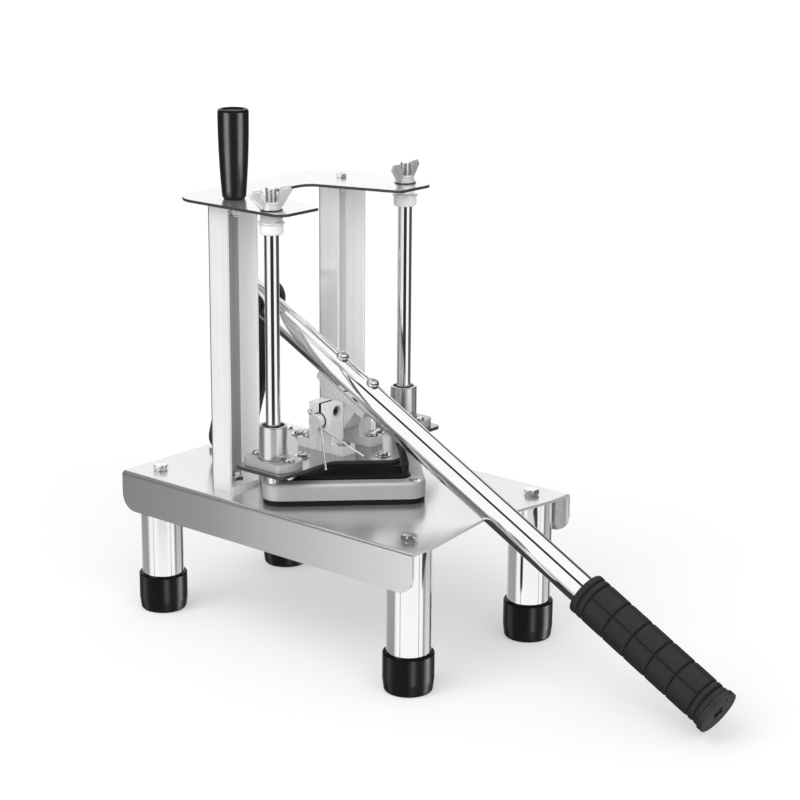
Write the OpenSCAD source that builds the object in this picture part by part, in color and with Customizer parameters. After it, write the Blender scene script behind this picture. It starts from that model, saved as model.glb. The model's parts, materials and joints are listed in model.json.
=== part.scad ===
// Lever-operated french fry cutter: a folded steel table on four legs carries a blade frame,
// two columns and two guide rods. The hand lever drives a pusher down through the blades.
// Origin: under the centre of the blade frame, on the surface that the feet stand on.
// The operator stands on the -Y side, and +Z is up. The pusher is shown fully down.

/* [Base] */
// Width of the base plate over its folded sides
base_width = 170; // [164:1:190]
// Depth of the base plate, front to back
base_depth = 270; // [260:1:300]
// Height of the base plate's top surface
base_height = 104; // [90:1:130]
// Distance from the blade centre forward to the middle of the base plate
base_forward = 2; // [0:0.5:6]
// Thickness of the base plate's sheet
base_sheet = 2; // [1.5:0.1:3]
// Height of the folded sides
side_drop = 28.5; // [20:0.5:40]
// Outer radius of the fold
fold_radius = 3.2; // [3.1:0.1:5]
// Radius of the lower corners of the folded sides
side_corner = 12; // [6:0.5:15]
// Distance of the front edge's shallow notch from the plate's sides
notch_inset = 23; // [15:1:45]
// Depth of that notch in its middle
notch_depth = 10; // [10:0.5:16]

/* [Legs and feet] */
// Distance of the legs from the base plate's sides
leg_inset = 20; // [19:0.5:27]
// Distance of the legs from the base plate's front and rear edges
leg_end_inset = 19; // [17:0.5:35]
// Outer radius of a leg tube
leg_radius = 15; // [12:0.5:16]
// Wall of a leg tube
leg_wall = 1.5; // [1:0.1:3]
// Height of the threaded plug in the top of a leg
plug_height = 12; // [8:0.5:16]
// Outer radius of a rubber foot
foot_radius = 17.3; // [16.5:0.1:19]
// Height of a rubber foot
foot_height = 27.5; // [20:0.5:34]
// Thickness of the foot's floor under the tube
foot_floor = 5; // [4:0.5:8]
// Radius of the foot's lower edge
foot_edge = 3; // [1:0.5:4]

/* [Columns] */
// Distance of a column's middle from the side of the base plate
column_inset = 29.5; // [24:0.1:29.6]
// Distance of a column's middle behind the blade centre
column_y = 48.5; // [48.4:0.1:56]
// Width of a column's channel
column_width = 30; // [24:0.5:30]
// Depth of a column's channel
column_depth = 19; // [16:0.5:19]
// Wall of a column
column_wall = 2; // [1.5:0.1:2.5]
// Outer radius of a column's two bends
column_bend = 3; // [2.6:0.1:4]
// Thickness of the end tabs inside a column
tab_height = 3; // [2:0.5:5]

/* [Top plate] */
// Height of the top plate's upper surface
top_height = 306.5; // [304:0.5:330]
// Thickness of the top plate
top_sheet = 2; // [1.5:0.1:3]
// Distance of the top plate's sides inside the base plate's sides
top_inset = 7; // [0:0.5:8]
// Reach of the plate's two arms in front of the rods
top_front = 18; // [14:0.5:26]
// Reach of the plate behind the rods
top_rear = 86; // [72:0.5:100]
// Radius of the plate's rear corners
top_rear_round = 22; // [8:1:26]
// Radius of the arms' outer corners
top_front_round = 8; // [3:0.5:9]
// Half the width of the lever opening at the arms' ends
slot_front_half = 42; // [34:0.5:46]
// Half the width of the lever opening at its back
slot_back_half = 21; // [16:0.5:26]
// Distance from the rods to the back of the lever opening
slot_back = 50; // [40:0.5:54]
// Radius of the opening's back corners
slot_round = 12; // [6:0.5:14]

/* [Guide rods] */
// Distance of the guide rods from the sides of the base plate
rod_inset = 17; // [16.5:0.1:17.5]
// Radius of a guide rod
rod_radius = 5; // [4:0.1:5.2]
// Radius of the threads at both ends of a rod
rod_thread = 4; // [3:0.1:4.1]
// Height of the rod's upper thread above the top plate
rod_over = 15; // [13:0.5:24]
// Outer radius of the nylon bumper ring
bumper_radius = 8; // [7:0.1:9]
// Height of the bumper ring
bumper_height = 7; // [5:0.5:10]
// Height of the stop nut between bumper and top plate
stop_nut_height = 7; // [5:0.5:9]

/* [Blade frame] */
// Metal of the frame's corners beyond the guide rods
frame_past = 5.9; // [5.2:0.1:5.9]
// Radius of the frame's corners
frame_corner = 12; // [8:0.5:14]
// Height of the cast ring
frame_height = 11.5; // [11.2:0.1:16]
// Radius of the ring's upper outer edge
frame_edge = 2.5; // [1:0.1:3]
// Height of the dark gasket under the ring
gasket_height = 4; // [2:0.5:6]
// Width of the frame's four walls
frame_wall = 9.7; // [9.2:0.1:13]
// Radius of the opening's corners
opening_corner = 8; // [7.5:0.5:11]
// Number of strips that a potato is cut into, each way
cells = 9; // [7:1:10]
// Thickness of a blade
blade_thickness = 0.8; // [0.5:0.1:1]
// Height of a blade
blade_height = 5; // [4:0.1:5.2]

/* [Pusher] */
// Distance of the pusher plate's edges inside those of the black block
plate_inset = 5.8; // [4.8:0.1:9]
// Radius of the pusher plate's corners
plate_corner = 8; // [4:0.5:12]
// Thickness of the pusher plate
plate_sheet = 2.5; // [2:0.1:4]
// Half the width of the plate's two ears
ear_half = 22; // [21:0.5:24]
// Reach of the ears beyond the guide rods
ear_past = 16; // [14:0.5:20]
// Height of the black block that shows over the frame when down
block_stand = 9; // [8.5:0.1:12]
// Depth that the block enters the frame when down
block_entry = 1; // [0.5:0.1:1.2]
// Gap between the block and the frame's opening
block_gap = 1.2; // [0.8:0.1:2]
// Gap between a stud of the block and the blades beside it
stud_gap = 1; // [0.6:0.1:1.5]
// Length of the studs that push the strips through
stud_length = 12.5; // [8:0.5:13]

/* [Linear bearings] */
// Outer radius of a bearing's sleeve
bearing_radius = 9.5; // [9:0.1:10]
// Length of a bearing
bearing_length = 29; // [24:0.5:32]
// Thickness of a bearing's flange
bearing_flange = 6; // [5:0.5:8]
// Diameter of the flange's round ends
bearing_flange_length = 40; // [39:0.5:42]
// Width of the flange between its flats
bearing_flange_width = 25; // [22:0.5:26]
// Distance of the flange screws from the rod
bearing_screw_y = 14.5; // [14:0.1:15.5]
// Outer radius of the ball cage inside the sleeve
cage_radius = 7.5; // [6:0.1:7.8]
// Gap all round between a running bore and its shaft
running_gap = 0.05; // [0.02:0.01:0.08]

/* [Pivot supports] */
// Clear space between the two pivot supports
support_space = 16.5; // [15:0.5:21]
// Thickness of a support
support_thickness = 13; // [12:0.5:14.5]
// Width of a support's tower
support_tower = 20; // [20:0.5:22]
// Height of a support
support_height = 34; // [33.5:0.5:38]
// Length of a support's foot
support_foot = 42; // [40:0.5:44]
// Height of a support's foot
support_foot_height = 6.5; // [5:0.5:10]
// Height of the lever's pivot above the pusher plate
pivot_height = 22; // [21:0.5:22.5]
// Radius of the pivot pin
pivot_radius = 5; // [4:0.1:5.5]
// Width of the clamping slot in a support
clamp_slot = 2; // [1:0.1:3]

/* [Lever] */
// Tilt of the lever below the horizontal when the pusher is down
lever_tilt = 27.6; // [27:0.1:28.4]
// Outer radius of the lever tube
tube_radius = 10; // [9:0.1:11.1]
// Wall of the lever tube
tube_wall = 2; // [1.5:0.1:3]
// Distance from the pivot pin to the tube's axis
pivot_to_tube = 27.6; // [26.6:0.1:30]
// Distance along the tube from the pivot to the link bolt
rear_reach = 100; // [90:0.5:106]
// Length of tube behind the link bolt
tube_tail = 14; // [12:0.5:20]
// Distance along the tube from the pivot to the rubber grip
grip_start = 225; // [200:1:226]
// Length of the rubber grip
grip_length = 113; // [100:0.5:114]
// Radius of the rubber grip
grip_radius = 14.75; // [13:0.05:15.5]
// Radius of the grip's end cap
cap_radius = 15.8; // [15.6:0.1:17]
// Thickness of the end cap's flange
cap_height = 4; // [3:0.5:6]

/* [Link] */
// Distance of the link's fixed pivot behind the blade centre
anchor_y = 106; // [100:0.5:112]
// Height of that pivot above the base plate
anchor_rise = 14; // [12.5:0.5:20]
// Radius of the link's round ends
link_radius = 11; // [8:0.5:12]
// Thickness of a link plate
link_sheet = 4; // [3:0.5:5]
// Radius of the link's two pivots
link_pin = 4; // [3:0.1:4.5]

/* [Hand grip] */
// Height of the upright hand grip
knob_height = 60.5; // [50:0.5:75]
// Radius of the hand grip at its top
knob_top = 10.5; // [10:0.1:13]
// Radius of the hand grip at its foot
knob_foot = 8.2; // [7.5:0.1:10]
// Distance of the hand grip's axis in front of the left column's middle
knob_forward = 2.4; // [0:0.1:4]

/* [Hidden] */
$fn = 48;

// Screws: M6 for the frame of the machine, M5 and M4 for what it carries
m6_thread = 3;
m6_across = 10;
m6_head = 4;
m6_nut = 5;
m5_thread = 2.5;
m5_head_radius = 4.4;
m5_head = 3;
m5_across = 8;
m5_nut = 4;
m4_thread = 2;
m4_head_radius = 3.6;
m4_head = 2.6;
m4_across = 7;
m4_nut = 3.2;
m8_across = 13;
m8_nut = 6.5;
// Free play of a screw in a plain hole, and the length that it stands out of its nut
screw_play = 0.3;
screw_tail = 2;
recess_width = 0.9;
recess_depth = 1.4;
// Every cut runs past the face that it opens by this much
over = 1;
// Gap between pieces that turn or slide beside each other
side_gap = 0.3;
link_gap = 0.5;
// Clearance of a rod in the pusher plate, and the material left under a blind screw hole
rod_clearance = 1;
hole_floor = 1;

// Everything across the machine keeps its distance from the base plate's sides
leg_x = base_width / 2 - leg_inset;
leg_y = base_depth / 2 - leg_end_inset;
column_x = base_width / 2 - column_inset;
top_half = base_width / 2 - top_inset;
notch_half = base_width / 2 - notch_inset;
fixing_radius = base_width / 2 - rod_inset;
ear_reach = fixing_radius + ear_past;
// The square frame stands on its corner, and its corners enclose rods and screws
frame_side = sqrt(2) * (fixing_radius + frame_past + (sqrt(2) - 1) * frame_corner);
opening = frame_side - 2 * frame_wall;
block_side = opening - 2 * block_gap;
plate_side = block_side - 2 * plate_inset;
base_under = base_height - base_sheet;
base_mid = -base_forward;
ring_floor = base_height + gasket_height;
ring_top = ring_floor + frame_height;
block_top = ring_top + block_stand;
block_floor = ring_top - block_entry;
plate_top = block_top + plate_sheet;
pivot_z = plate_top + pivot_height;
top_under = top_height - top_sheet;
flange_top = plate_top + bearing_flange;
pitch = opening / cells;
block_corner = opening_corner - block_gap;
block_height = block_stand + block_entry;
block_screw_r = plate_side / 2;
gasket_inset = 0.5;
cage_recess = 1.1;
slot_tip_round = 2;
support_x = (support_space + support_thickness) / 2;
support_screw_y = 16;
clamp_rise = 29;
clamp_pocket = 4;
clamp_pocket_depth = 6;
socket_head_radius = 3.5;
socket_head = 4;
socket_radius = 1.7;
tab_inner = column_width - 2 * column_wall;

wing_hub_low = 7;
wing_hub_high = 5.5;
wing_hub_height = 5.5;
wing_sheet = 3;
// Half of a wing's flat outline as [distance from the axis, height], from the foot outwards
wing_corners = [[4.5, 1], [9.5, 1], [19.3, 11.1], [16.5, 14.3], [8, 14], [5.2, 7]];
wing_rounds = [0.3, 1, 1, 1.5, 0.8, 0.8];
wing_left_turn = -5;
wing_right_turn = 9;
stop_flange = 8.8;
stop_flange_height = 1.4;
shoulder_z = top_under - stop_nut_height - bumper_height;

pin_head_radius = 8;
pin_head = 3;
pin_stand = 6;
split_radius = 1.2;
split_offset = 3.2;
split_wire = 0.7;
split_eye = 2;
split_turn = -45;
// The two legs of the split pin: their turns about X and Y, and their lengths
split_leg_turns = [[108, 0], [140, 49]];
split_leg_lengths = [41.5, 38.5];

saddle_length = 48;
saddle_middle = -2;
saddle_half = 7.5;
saddle_height = 5;
saddle_screw_space = 31;
lug_half = 6.5;
boss_radius = 12;
boss_half = support_space / 2 - side_gap;

link_in = tube_radius + link_gap;
link_mid_x = link_in + link_sheet / 2;
link_foot_radius = 10;
bolt_head_radius = 7;
bolt_head = 4;
bracket_sheet = 3;
bracket_half = link_in - side_gap;
bracket_reach = 14;
bracket_ear = 9;
bracket_screw_y = 8;

groove_width = 1.8;
groove_depth = 1.3;
grip_collar = 4;
grip_ring = 3.2;
grip_rows = 5;
grip_lanes = 6;
grip_turn = -6.5;
cap_slot = 3;
cap_slot_depth = 1.5;
cap_slot_length = 18;
cap_plug = 20;
cap_hole = 1.2;
cap_hole_rise = 11.5;

knob_edge = 1.5;
knob_foot_edge = 4;
knob_bore_depth = 24;
knob_swell = 0.5;

// The lever's rear pivot and the link's fixed pivot, in the middle plane, as [y, z]
rear_pivot = [rear_reach * cos(lever_tilt) - pivot_to_tube * sin(lever_tilt),
              pivot_z + rear_reach * sin(lever_tilt) + pivot_to_tube * cos(lever_tilt)];
anchor = [anchor_y, base_height + anchor_rise];
link_length = norm(rear_pivot - anchor);
link_lean = atan2(anchor[0] - rear_pivot[0], rear_pivot[1] - anchor[1]);

// Unit vector along v
function unit(v) = v / norm(v);
// The corner i of a closed outline, and the directions to its two neighbours
function back_dir(p, i) = unit(p[(i + len(p) - 1) % len(p)] - p[i]);
function next_dir(p, i) = unit(p[(i + 1) % len(p)] - p[i]);
function half_angle(p, i) = acos(back_dir(p, i) * next_dir(p, i)) / 2;
// Where a rounded corner starts and ends, and the centre of its arc
function arc_ends(p, r, i) = let (cut = r[i] / tan(half_angle(p, i)))
    [p[i] + back_dir(p, i) * cut, p[i] + next_dir(p, i) * cut];
function arc_centre(p, r, i) =
    p[i] + unit(back_dir(p, i) + next_dir(p, i)) * r[i] / sin(half_angle(p, i));

// A convex outline with its own radius at each corner
module rounded_outline(p, r) {
    polygon([for (i = [0 : len(p) - 1]) each arc_ends(p, r, i)]);
    for (i = [0 : len(p) - 1])
        translate(arc_centre(p, r, i)) circle(r = r[i]);
}

module rounded_square(side, r) {
    half = side / 2;
    rounded_outline([[-half, -half], [half, -half], [half, half], [-half, half]], [r, r, r, r]);
}

module rounded_rect(x, y, r) {
    rounded_outline([[-x, -y], [x, -y], [x, y], [-x, y]], [r, r, r, r]);
}

// Two circles joined by their outer tangents, the second one at distance d along +Y
module strap_outline(r1, r2, d) {
    lean = asin((r1 - r2) / d);
    circle(r = r1);
    translate([0, d]) circle(r = r2);
    polygon([[r1 * cos(lean), r1 * sin(lean)], [r2 * cos(lean), d + r2 * sin(lean)],
             [-r2 * cos(lean), d + r2 * sin(lean)], [-r1 * cos(lean), r1 * sin(lean)]]);
}

// A rectangle that hangs from y = 0 with its two upper corners rounded
module folded_outline(width, height, r) {
    half = width / 2;
    translate([-half, -height]) square([width, height - r]);
    translate([r - half, -height]) square([width - 2 * r, height]);
    for (side = [-1, 1]) translate([side * (half - r), -r]) circle(r = r);
}

module cross_recess(reach) {
    for (turn = [0, 90])
        rotate(turn) translate([0, 0, -recess_depth / 2])
            cube([2 * reach, recess_width, recess_depth + over], center = true);
}

// Fasteners have their seat at z = 0, the head above it and the shank below
module hex_bolt(across, head, thread, length) {
    cylinder(r = across / sqrt(3), h = head, $fn = 6);
    translate([0, 0, -length]) cylinder(r = thread, h = length);
}

module hex_nut(across, height, thread) {
    difference() {
        cylinder(r = across / sqrt(3), h = height, $fn = 6);
        translate([0, 0, -over]) cylinder(r = thread, h = height + 2 * over);
    }
}

module pan_screw(head_radius, head, thread, length) {
    difference() {
        union() {
            cylinder(r = head_radius, h = head / 2);
            translate([0, 0, head / 2])
                cylinder(r1 = head_radius, r2 = head_radius - head / 2, h = head / 2);
        }
        translate([0, 0, head]) cross_recess(head_radius - head / 2);
    }
    translate([0, 0, -length]) cylinder(r = thread, h = length);
}

module hole(radius, top, depth) {
    translate([0, 0, top - depth]) cylinder(r = radius, h = depth + over);
}

// Copies of a child where the like pieces of the machine stand
module at_legs() {
    for (x = [-leg_x, leg_x], y = [-leg_y, leg_y]) translate([x, base_mid + y]) children();
}

module at_columns() {
    for (side = [-1, 1]) translate([side * column_x, column_y]) children();
}

module at_rods() {
    for (side = [-1, 1]) translate([side * fixing_radius, 0]) children();
}

module at_frame_screws() {
    for (side = [-1, 1]) translate([0, side * fixing_radius]) children();
}

module at_bracket_screws() {
    for (side = [-1, 1]) translate([0, anchor_y + side * bracket_screw_y]) children();
}

module at_block_screws() {
    for (turn = [0 : 90 : 270]) rotate(turn) translate([block_screw_r, 0]) children();
}

module at_support_screws() {
    for (x = [-support_x, support_x], y = [-support_screw_y, support_screw_y])
        translate([x, y]) children();
}

module at_bearing_screws() {
    at_rods() for (side = [-1, 1]) translate([0, side * bearing_screw_y]) children();
}

// The lever's own frame: x along the tube towards the grip, z up from the pivot pin
module in_lever() {
    translate([0, 0, pivot_z]) rotate([lever_tilt, 0, 0]) rotate(-90) children();
}

module base_plate() {
    color("gainsboro") difference() {
        intersection() {
            translate([0, base_mid, base_height]) rotate([90, 0, 0])
                linear_extrude(base_depth, center = true) difference() {
                    folded_outline(base_width, side_drop, fold_radius);
                    translate([0, -base_sheet])
                        folded_outline(base_width - 2 * base_sheet, side_drop,
                                       fold_radius - base_sheet);
                }
            translate([0, base_mid, base_height - side_drop]) rotate([90, 0, 90])
                linear_extrude(base_width + 2 * over, center = true) mirror([0, 1])
                    folded_outline(base_depth, side_drop + over, side_corner);
        }
        // The front notch leaves room for the lever when it is down
        translate([0, base_mid - base_depth / 2, base_under - over])
            linear_extrude(base_sheet + 2 * over)
                polygon([[-notch_half, 0], [-notch_half, -over], [notch_half, -over],
                         [notch_half, 0], [0, notch_depth]]);
        // The cut strips fall through here
        translate([0, 0, base_under - over]) rotate(45) linear_extrude(base_sheet + 2 * over)
            rounded_square(opening, opening_corner);
        at_legs() hole(m6_thread + screw_play, base_height, base_sheet + over);
        at_columns() hole(m6_thread + screw_play, base_height, base_sheet + over);
        at_rods() hole(rod_thread + screw_play, base_height, base_sheet + over);
        at_frame_screws() hole(m5_thread + screw_play, base_height, base_sheet + over);
        at_bracket_screws() hole(m5_thread + screw_play, base_height, base_sheet + over);
    }
}

module leg(x, y) {
    color("silver") translate([x * leg_x, base_mid + y * leg_y, foot_floor]) difference() {
        cylinder(r = leg_radius, h = base_under - foot_floor);
        translate([0, 0, -over])
            cylinder(r = leg_radius - leg_wall, h = base_under - foot_floor + 2 * over);
    }
}

module foot(x, y) {
    color("black") translate([x * leg_x, base_mid + y * leg_y]) rotate_extrude() difference() {
        union() {
            translate([0, foot_edge]) square([foot_radius, foot_height - foot_edge]);
            square([foot_radius - foot_edge, foot_height]);
            translate([foot_radius - foot_edge, foot_edge]) circle(r = foot_edge);
        }
        translate([0, foot_floor]) square([leg_radius, foot_height]);
    }
}

module leg_plugs() {
    color("dimgray") at_legs() translate([0, 0, base_under - plug_height]) difference() {
        cylinder(r = leg_radius - leg_wall, h = plug_height);
        translate([0, 0, -over]) cylinder(r = m6_thread, h = plug_height + 2 * over);
    }
}

module leg_bolts() {
    color("silver") at_legs() translate([0, 0, base_height])
        hex_bolt(m6_across, m6_head, m6_thread, base_sheet + plug_height);
}

// A channel that is open to the front, with a drilled tab welded in at each end.
// The hand grip's stud passes the left one's upper tab, a small bolt the right one's.
module column(side) {
    length = top_under - base_height;
    head_hole = side < 0 ? [-knob_forward, m6_thread] : [0, m4_thread];
    color("gainsboro") translate([side * column_x, column_y, base_height]) {
        linear_extrude(length) difference() {
            translate([0, column_depth / 2])
                folded_outline(column_width, column_depth, column_bend);
            translate([0, column_depth / 2 - column_wall])
                folded_outline(tab_inner, column_depth, column_bend - column_wall);
        }
        for (z = [0, length - tab_height]) translate([0, 0, z]) difference() {
            translate([-tab_inner / 2, -column_depth / 2])
                cube([tab_inner, column_depth - column_bend, tab_height]);
            if (z == 0)
                hole(m6_thread + screw_play, tab_height, tab_height + over);
            else
                translate([0, head_hole[0]])
                    hole(head_hole[1] + screw_play, tab_height, tab_height + over);
        }
    }
}

// Both column feet are bolted from below, and the right column's head from above
module column_bolts() {
    color("silver") {
        at_columns() translate([0, 0, base_under]) mirror([0, 0, 1])
            hex_bolt(m6_across, m6_head, m6_thread,
                     base_sheet + tab_height + m6_nut + screw_tail);
        translate([column_x, column_y, top_height])
            hex_bolt(m4_across, m4_head, m4_thread,
                     top_sheet + tab_height + m4_nut + screw_tail);
    }
}

module column_nuts() {
    color("silver") {
        at_columns() translate([0, 0, base_height + tab_height])
            hex_nut(m6_across, m6_nut, m6_thread);
        translate([-column_x, column_y - knob_forward, top_under - tab_height - m6_nut])
            hex_nut(m6_across, m6_nut, m6_thread);
        translate([column_x, column_y, top_under - tab_height - m4_nut])
            hex_nut(m4_across, m4_nut, m4_thread);
    }
}

module top_plate() {
    color("gainsboro") translate([0, 0, top_under]) difference() {
        linear_extrude(top_sheet) difference() {
            rounded_outline([[-top_half, -top_front], [top_half, -top_front],
                             [top_half, top_rear], [-top_half, top_rear]],
                            [top_front_round, top_front_round, top_rear_round, top_rear_round]);
            // The lever opening widens towards the operator
            rounded_outline([[slot_back_half, slot_back], [-slot_back_half, slot_back],
                             [-slot_front_half, -top_front], [-slot_front_half, -2 * top_front],
                             [slot_front_half, -2 * top_front], [slot_front_half, -top_front]],
                            [slot_round, slot_round, slot_tip_round, slot_tip_round,
                             slot_tip_round, slot_tip_round]);
        }
        at_rods() hole(rod_thread + screw_play, top_sheet, top_sheet + over);
        translate([-column_x, column_y - knob_forward])
            hole(m6_thread + screw_play, top_sheet, top_sheet + over);
        translate([column_x, column_y])
            hole(m4_thread + screw_play, top_sheet, top_sheet + over);
    }
}

module hand_grip() {
    color("black") translate([-column_x, column_y - knob_forward, top_height]) difference() {
        union() {
            cylinder(r1 = knob_foot - knob_edge, r2 = knob_foot, h = knob_foot_edge / 2);
            translate([0, 0, knob_foot_edge / 2])
                cylinder(r1 = knob_foot, r2 = knob_top - knob_swell,
                         h = knob_height / 2 - knob_foot_edge / 2);
            translate([0, 0, knob_height / 2])
                cylinder(r1 = knob_top - knob_swell, r2 = knob_top,
                         h = knob_height / 2 - knob_edge);
            translate([0, 0, knob_height - knob_edge])
                cylinder(r1 = knob_top, r2 = knob_top - knob_edge, h = knob_edge);
        }
        translate([0, 0, -over]) cylinder(r = m6_thread, h = knob_bore_depth + over);
    }
}

module hand_grip_stud() {
    below = top_sheet + tab_height + m6_nut + screw_tail;
    color("silver") translate([-column_x, column_y - knob_forward, top_height - below])
        cylinder(r = m6_thread, h = below + knob_bore_depth);
}

module guide_rod(side) {
    floor_z = base_under - m8_nut - screw_tail;
    color("silver") translate([side * fixing_radius, 0]) {
        translate([0, 0, floor_z]) cylinder(r = rod_thread, h = top_height + rod_over - floor_z);
        translate([0, 0, ring_top]) cylinder(r = rod_radius, h = shoulder_z - ring_top);
    }
}

module rod_nuts() {
    color("silver") at_rods() translate([0, 0, base_under - m8_nut])
        hex_nut(m8_across, m8_nut, rod_thread);
}

module rod_stop_nuts() {
    color("silver") at_rods() translate([0, 0, top_under - stop_nut_height]) {
        translate([0, 0, stop_flange_height])
            hex_nut(m8_across, stop_nut_height - stop_flange_height, rod_thread);
        difference() {
            cylinder(r = stop_flange, h = stop_flange_height);
            translate([0, 0, -over]) cylinder(r = rod_thread, h = stop_flange_height + 2 * over);
        }
    }
}

module rod_bumpers() {
    color("white") at_rods() translate([0, 0, shoulder_z]) difference() {
        cylinder(r = bumper_radius, h = bumper_height);
        translate([0, 0, -over]) cylinder(r = rod_thread, h = bumper_height + 2 * over);
    }
}

module wing_nut(side, turn) {
    color("silver") translate([side * fixing_radius, 0, top_height]) rotate(turn) difference() {
        union() {
            cylinder(r1 = wing_hub_low, r2 = wing_hub_high, h = wing_hub_height);
            for (half = [0, 180]) rotate([90, 0, half])
                linear_extrude(wing_sheet, center = true)
                    rounded_outline(wing_corners, wing_rounds);
        }
        translate([0, 0, -over])
            cylinder(r = rod_thread + running_gap, h = 2 * wing_hub_height + over);
    }
}

module frame_section() {
    square([frame_corner, frame_height - frame_edge]);
    square([frame_corner - frame_edge, frame_height]);
    translate([frame_corner - frame_edge, frame_height - frame_edge]) circle(r = frame_edge);
}

// A square ring with round corners and a rounded upper outer edge
module blade_frame() {
    flat_side = frame_side - 2 * frame_corner;
    color("lightgray") translate([0, 0, ring_floor]) rotate(45) difference() {
        union() {
            translate([0, 0, frame_height / 2])
                cube([flat_side, flat_side, frame_height], center = true);
            for (turn = [0 : 90 : 270]) rotate(turn) translate([flat_side / 2, flat_side / 2]) {
                rotate_extrude(angle = 90) frame_section();
                rotate([90, 0, 0]) linear_extrude(flat_side) frame_section();
            }
        }
        translate([0, 0, -over]) linear_extrude(frame_height + 2 * over)
            rounded_square(opening, opening_corner);
        rotate(-45) {
            at_rods() hole(rod_thread + screw_play, frame_height, frame_height + over);
            at_frame_screws() {
                hole(m5_thread + screw_play, frame_height, frame_height + over);
                translate([0, 0, frame_height - m5_head])
                    cylinder(r1 = m5_thread + screw_play, r2 = m5_head_radius + screw_play,
                             h = m5_head);
            }
        }
    }
}

module blade_gasket() {
    color("darkslategray") translate([0, 0, base_height]) difference() {
        rotate(45) linear_extrude(gasket_height) difference() {
            rounded_square(frame_side - 2 * gasket_inset, frame_corner);
            rounded_square(opening, opening_corner);
        }
        at_rods() hole(rod_thread + screw_play, gasket_height, gasket_height + over);
        at_frame_screws() hole(m5_thread + screw_play, gasket_height, gasket_height + over);
    }
}

// One layer of ground strips, which end at the walls of the opening
module blade_row(z) {
    ground = blade_thickness * 2;
    color("silver") translate([0, 0, z])
        for (i = [1 : cells - 1]) translate([i * pitch - opening / 2, 0]) rotate([90, 0, 0])
            linear_extrude(opening, center = true)
                polygon([[-blade_thickness / 2, 0], [blade_thickness / 2, 0],
                         [blade_thickness / 2, blade_height - ground], [0, blade_height],
                         [-blade_thickness / 2, blade_height - ground]]);
}

module blades_lower() {
    rotate(45) blade_row(ring_floor);
}

module blades_upper() {
    rotate(-45) blade_row(ring_floor + blade_height);
}

module frame_screws() {
    length = frame_height + gasket_height + base_sheet + m5_nut + screw_tail;
    color("silver") at_frame_screws() translate([0, 0, ring_top]) {
        difference() {
            translate([0, 0, -m5_head])
                cylinder(r1 = m5_thread, r2 = m5_head_radius, h = m5_head);
            cross_recess(m5_thread);
        }
        translate([0, 0, -length]) cylinder(r = m5_thread, h = length - m5_head);
    }
}

module frame_nuts() {
    color("silver") at_frame_screws() translate([0, 0, base_under - m5_nut])
        hex_nut(m5_across, m5_nut, m5_thread);
}

// Two ears on a foot hold the link's fixed pivot over the base plate
module link_bracket() {
    color("silver") translate([0, anchor_y, base_height]) difference() {
        union() {
            translate([-bracket_half, -bracket_reach])
                cube([2 * bracket_half, 2 * bracket_reach, bracket_sheet]);
            for (side = [-1, 1])
                translate([side * (bracket_half - bracket_sheet / 2), 0, anchor_rise])
                    rotate([90, 0, 90]) linear_extrude(bracket_sheet, center = true) {
                        circle(r = bracket_ear);
                        translate([-bracket_ear, -anchor_rise])
                            square([2 * bracket_ear, anchor_rise]);
                    }
        }
        translate([0, 0, anchor_rise]) rotate([0, 90, 0])
            cylinder(r = link_pin, h = 2 * bracket_half + 2 * over, center = true);
        for (side = [-1, 1]) translate([0, side * bracket_screw_y])
            hole(m5_thread + screw_play, bracket_sheet, bracket_sheet + over);
    }
}

module link_anchor_pin() {
    half = link_in + link_sheet + side_gap;
    color("dimgray") translate([0, anchor[0], anchor[1]]) rotate([0, 90, 0]) {
        cylinder(r = link_pin, h = 2 * half, center = true);
        for (side = [-1, 1]) translate([0, 0, side * (half + pin_head / 2)])
            cylinder(r = bolt_head_radius, h = pin_head, center = true);
    }
}

module link_bracket_screws() {
    color("silver") at_bracket_screws() {
        translate([0, 0, base_height + bracket_sheet])
            pan_screw(m5_head_radius, m5_head, m5_thread,
                      bracket_sheet + base_sheet + m5_nut + screw_tail);
        translate([0, 0, base_under - m5_nut]) hex_nut(m5_across, m5_nut, m5_thread);
    }
}

// A square on its corner with an ear each side for the bearings
module pusher_plate() {
    color("gainsboro") translate([0, 0, block_top]) difference() {
        linear_extrude(plate_sheet) {
            rotate(45) rounded_square(plate_side, plate_corner);
            rounded_rect(ear_reach, ear_half, plate_corner / 2);
        }
        at_rods() hole(rod_radius + rod_clearance, plate_sheet, plate_sheet + over);
        at_block_screws() hole(m4_thread + screw_play, plate_sheet, plate_sheet + over);
        at_support_screws() hole(m5_thread + screw_play, plate_sheet, plate_sheet + over);
        at_bearing_screws() hole(m4_thread + screw_play, plate_sheet, plate_sheet + over);
    }
}

// The black block has one stud for every cell of the blades
module pusher_block() {
    stud_half = (pitch - blade_thickness) / 2 - stud_gap;
    color("black") translate([0, 0, block_floor]) difference() {
        rotate(45) {
            linear_extrude(block_height) rounded_square(block_side, block_corner);
            translate([0, 0, -stud_length]) linear_extrude(stud_length) intersection() {
                rounded_square(block_side, block_corner);
                for (i = [0 : cells - 1], j = [0 : cells - 1])
                    translate([(i + 1 / 2) * pitch - opening / 2,
                               (j + 1 / 2) * pitch - opening / 2])
                        square(2 * stud_half, center = true);
            }
        }
        at_block_screws() hole(m4_thread, block_height, block_height - hole_floor);
        at_support_screws() hole(m5_thread, block_height, block_height - hole_floor);
    }
}

module pusher_block_screws() {
    color("silver") at_block_screws() translate([0, 0, plate_top])
        pan_screw(m4_head_radius, m4_head, m4_thread,
                  plate_sheet + block_height - 2 * hole_floor);
}

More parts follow.
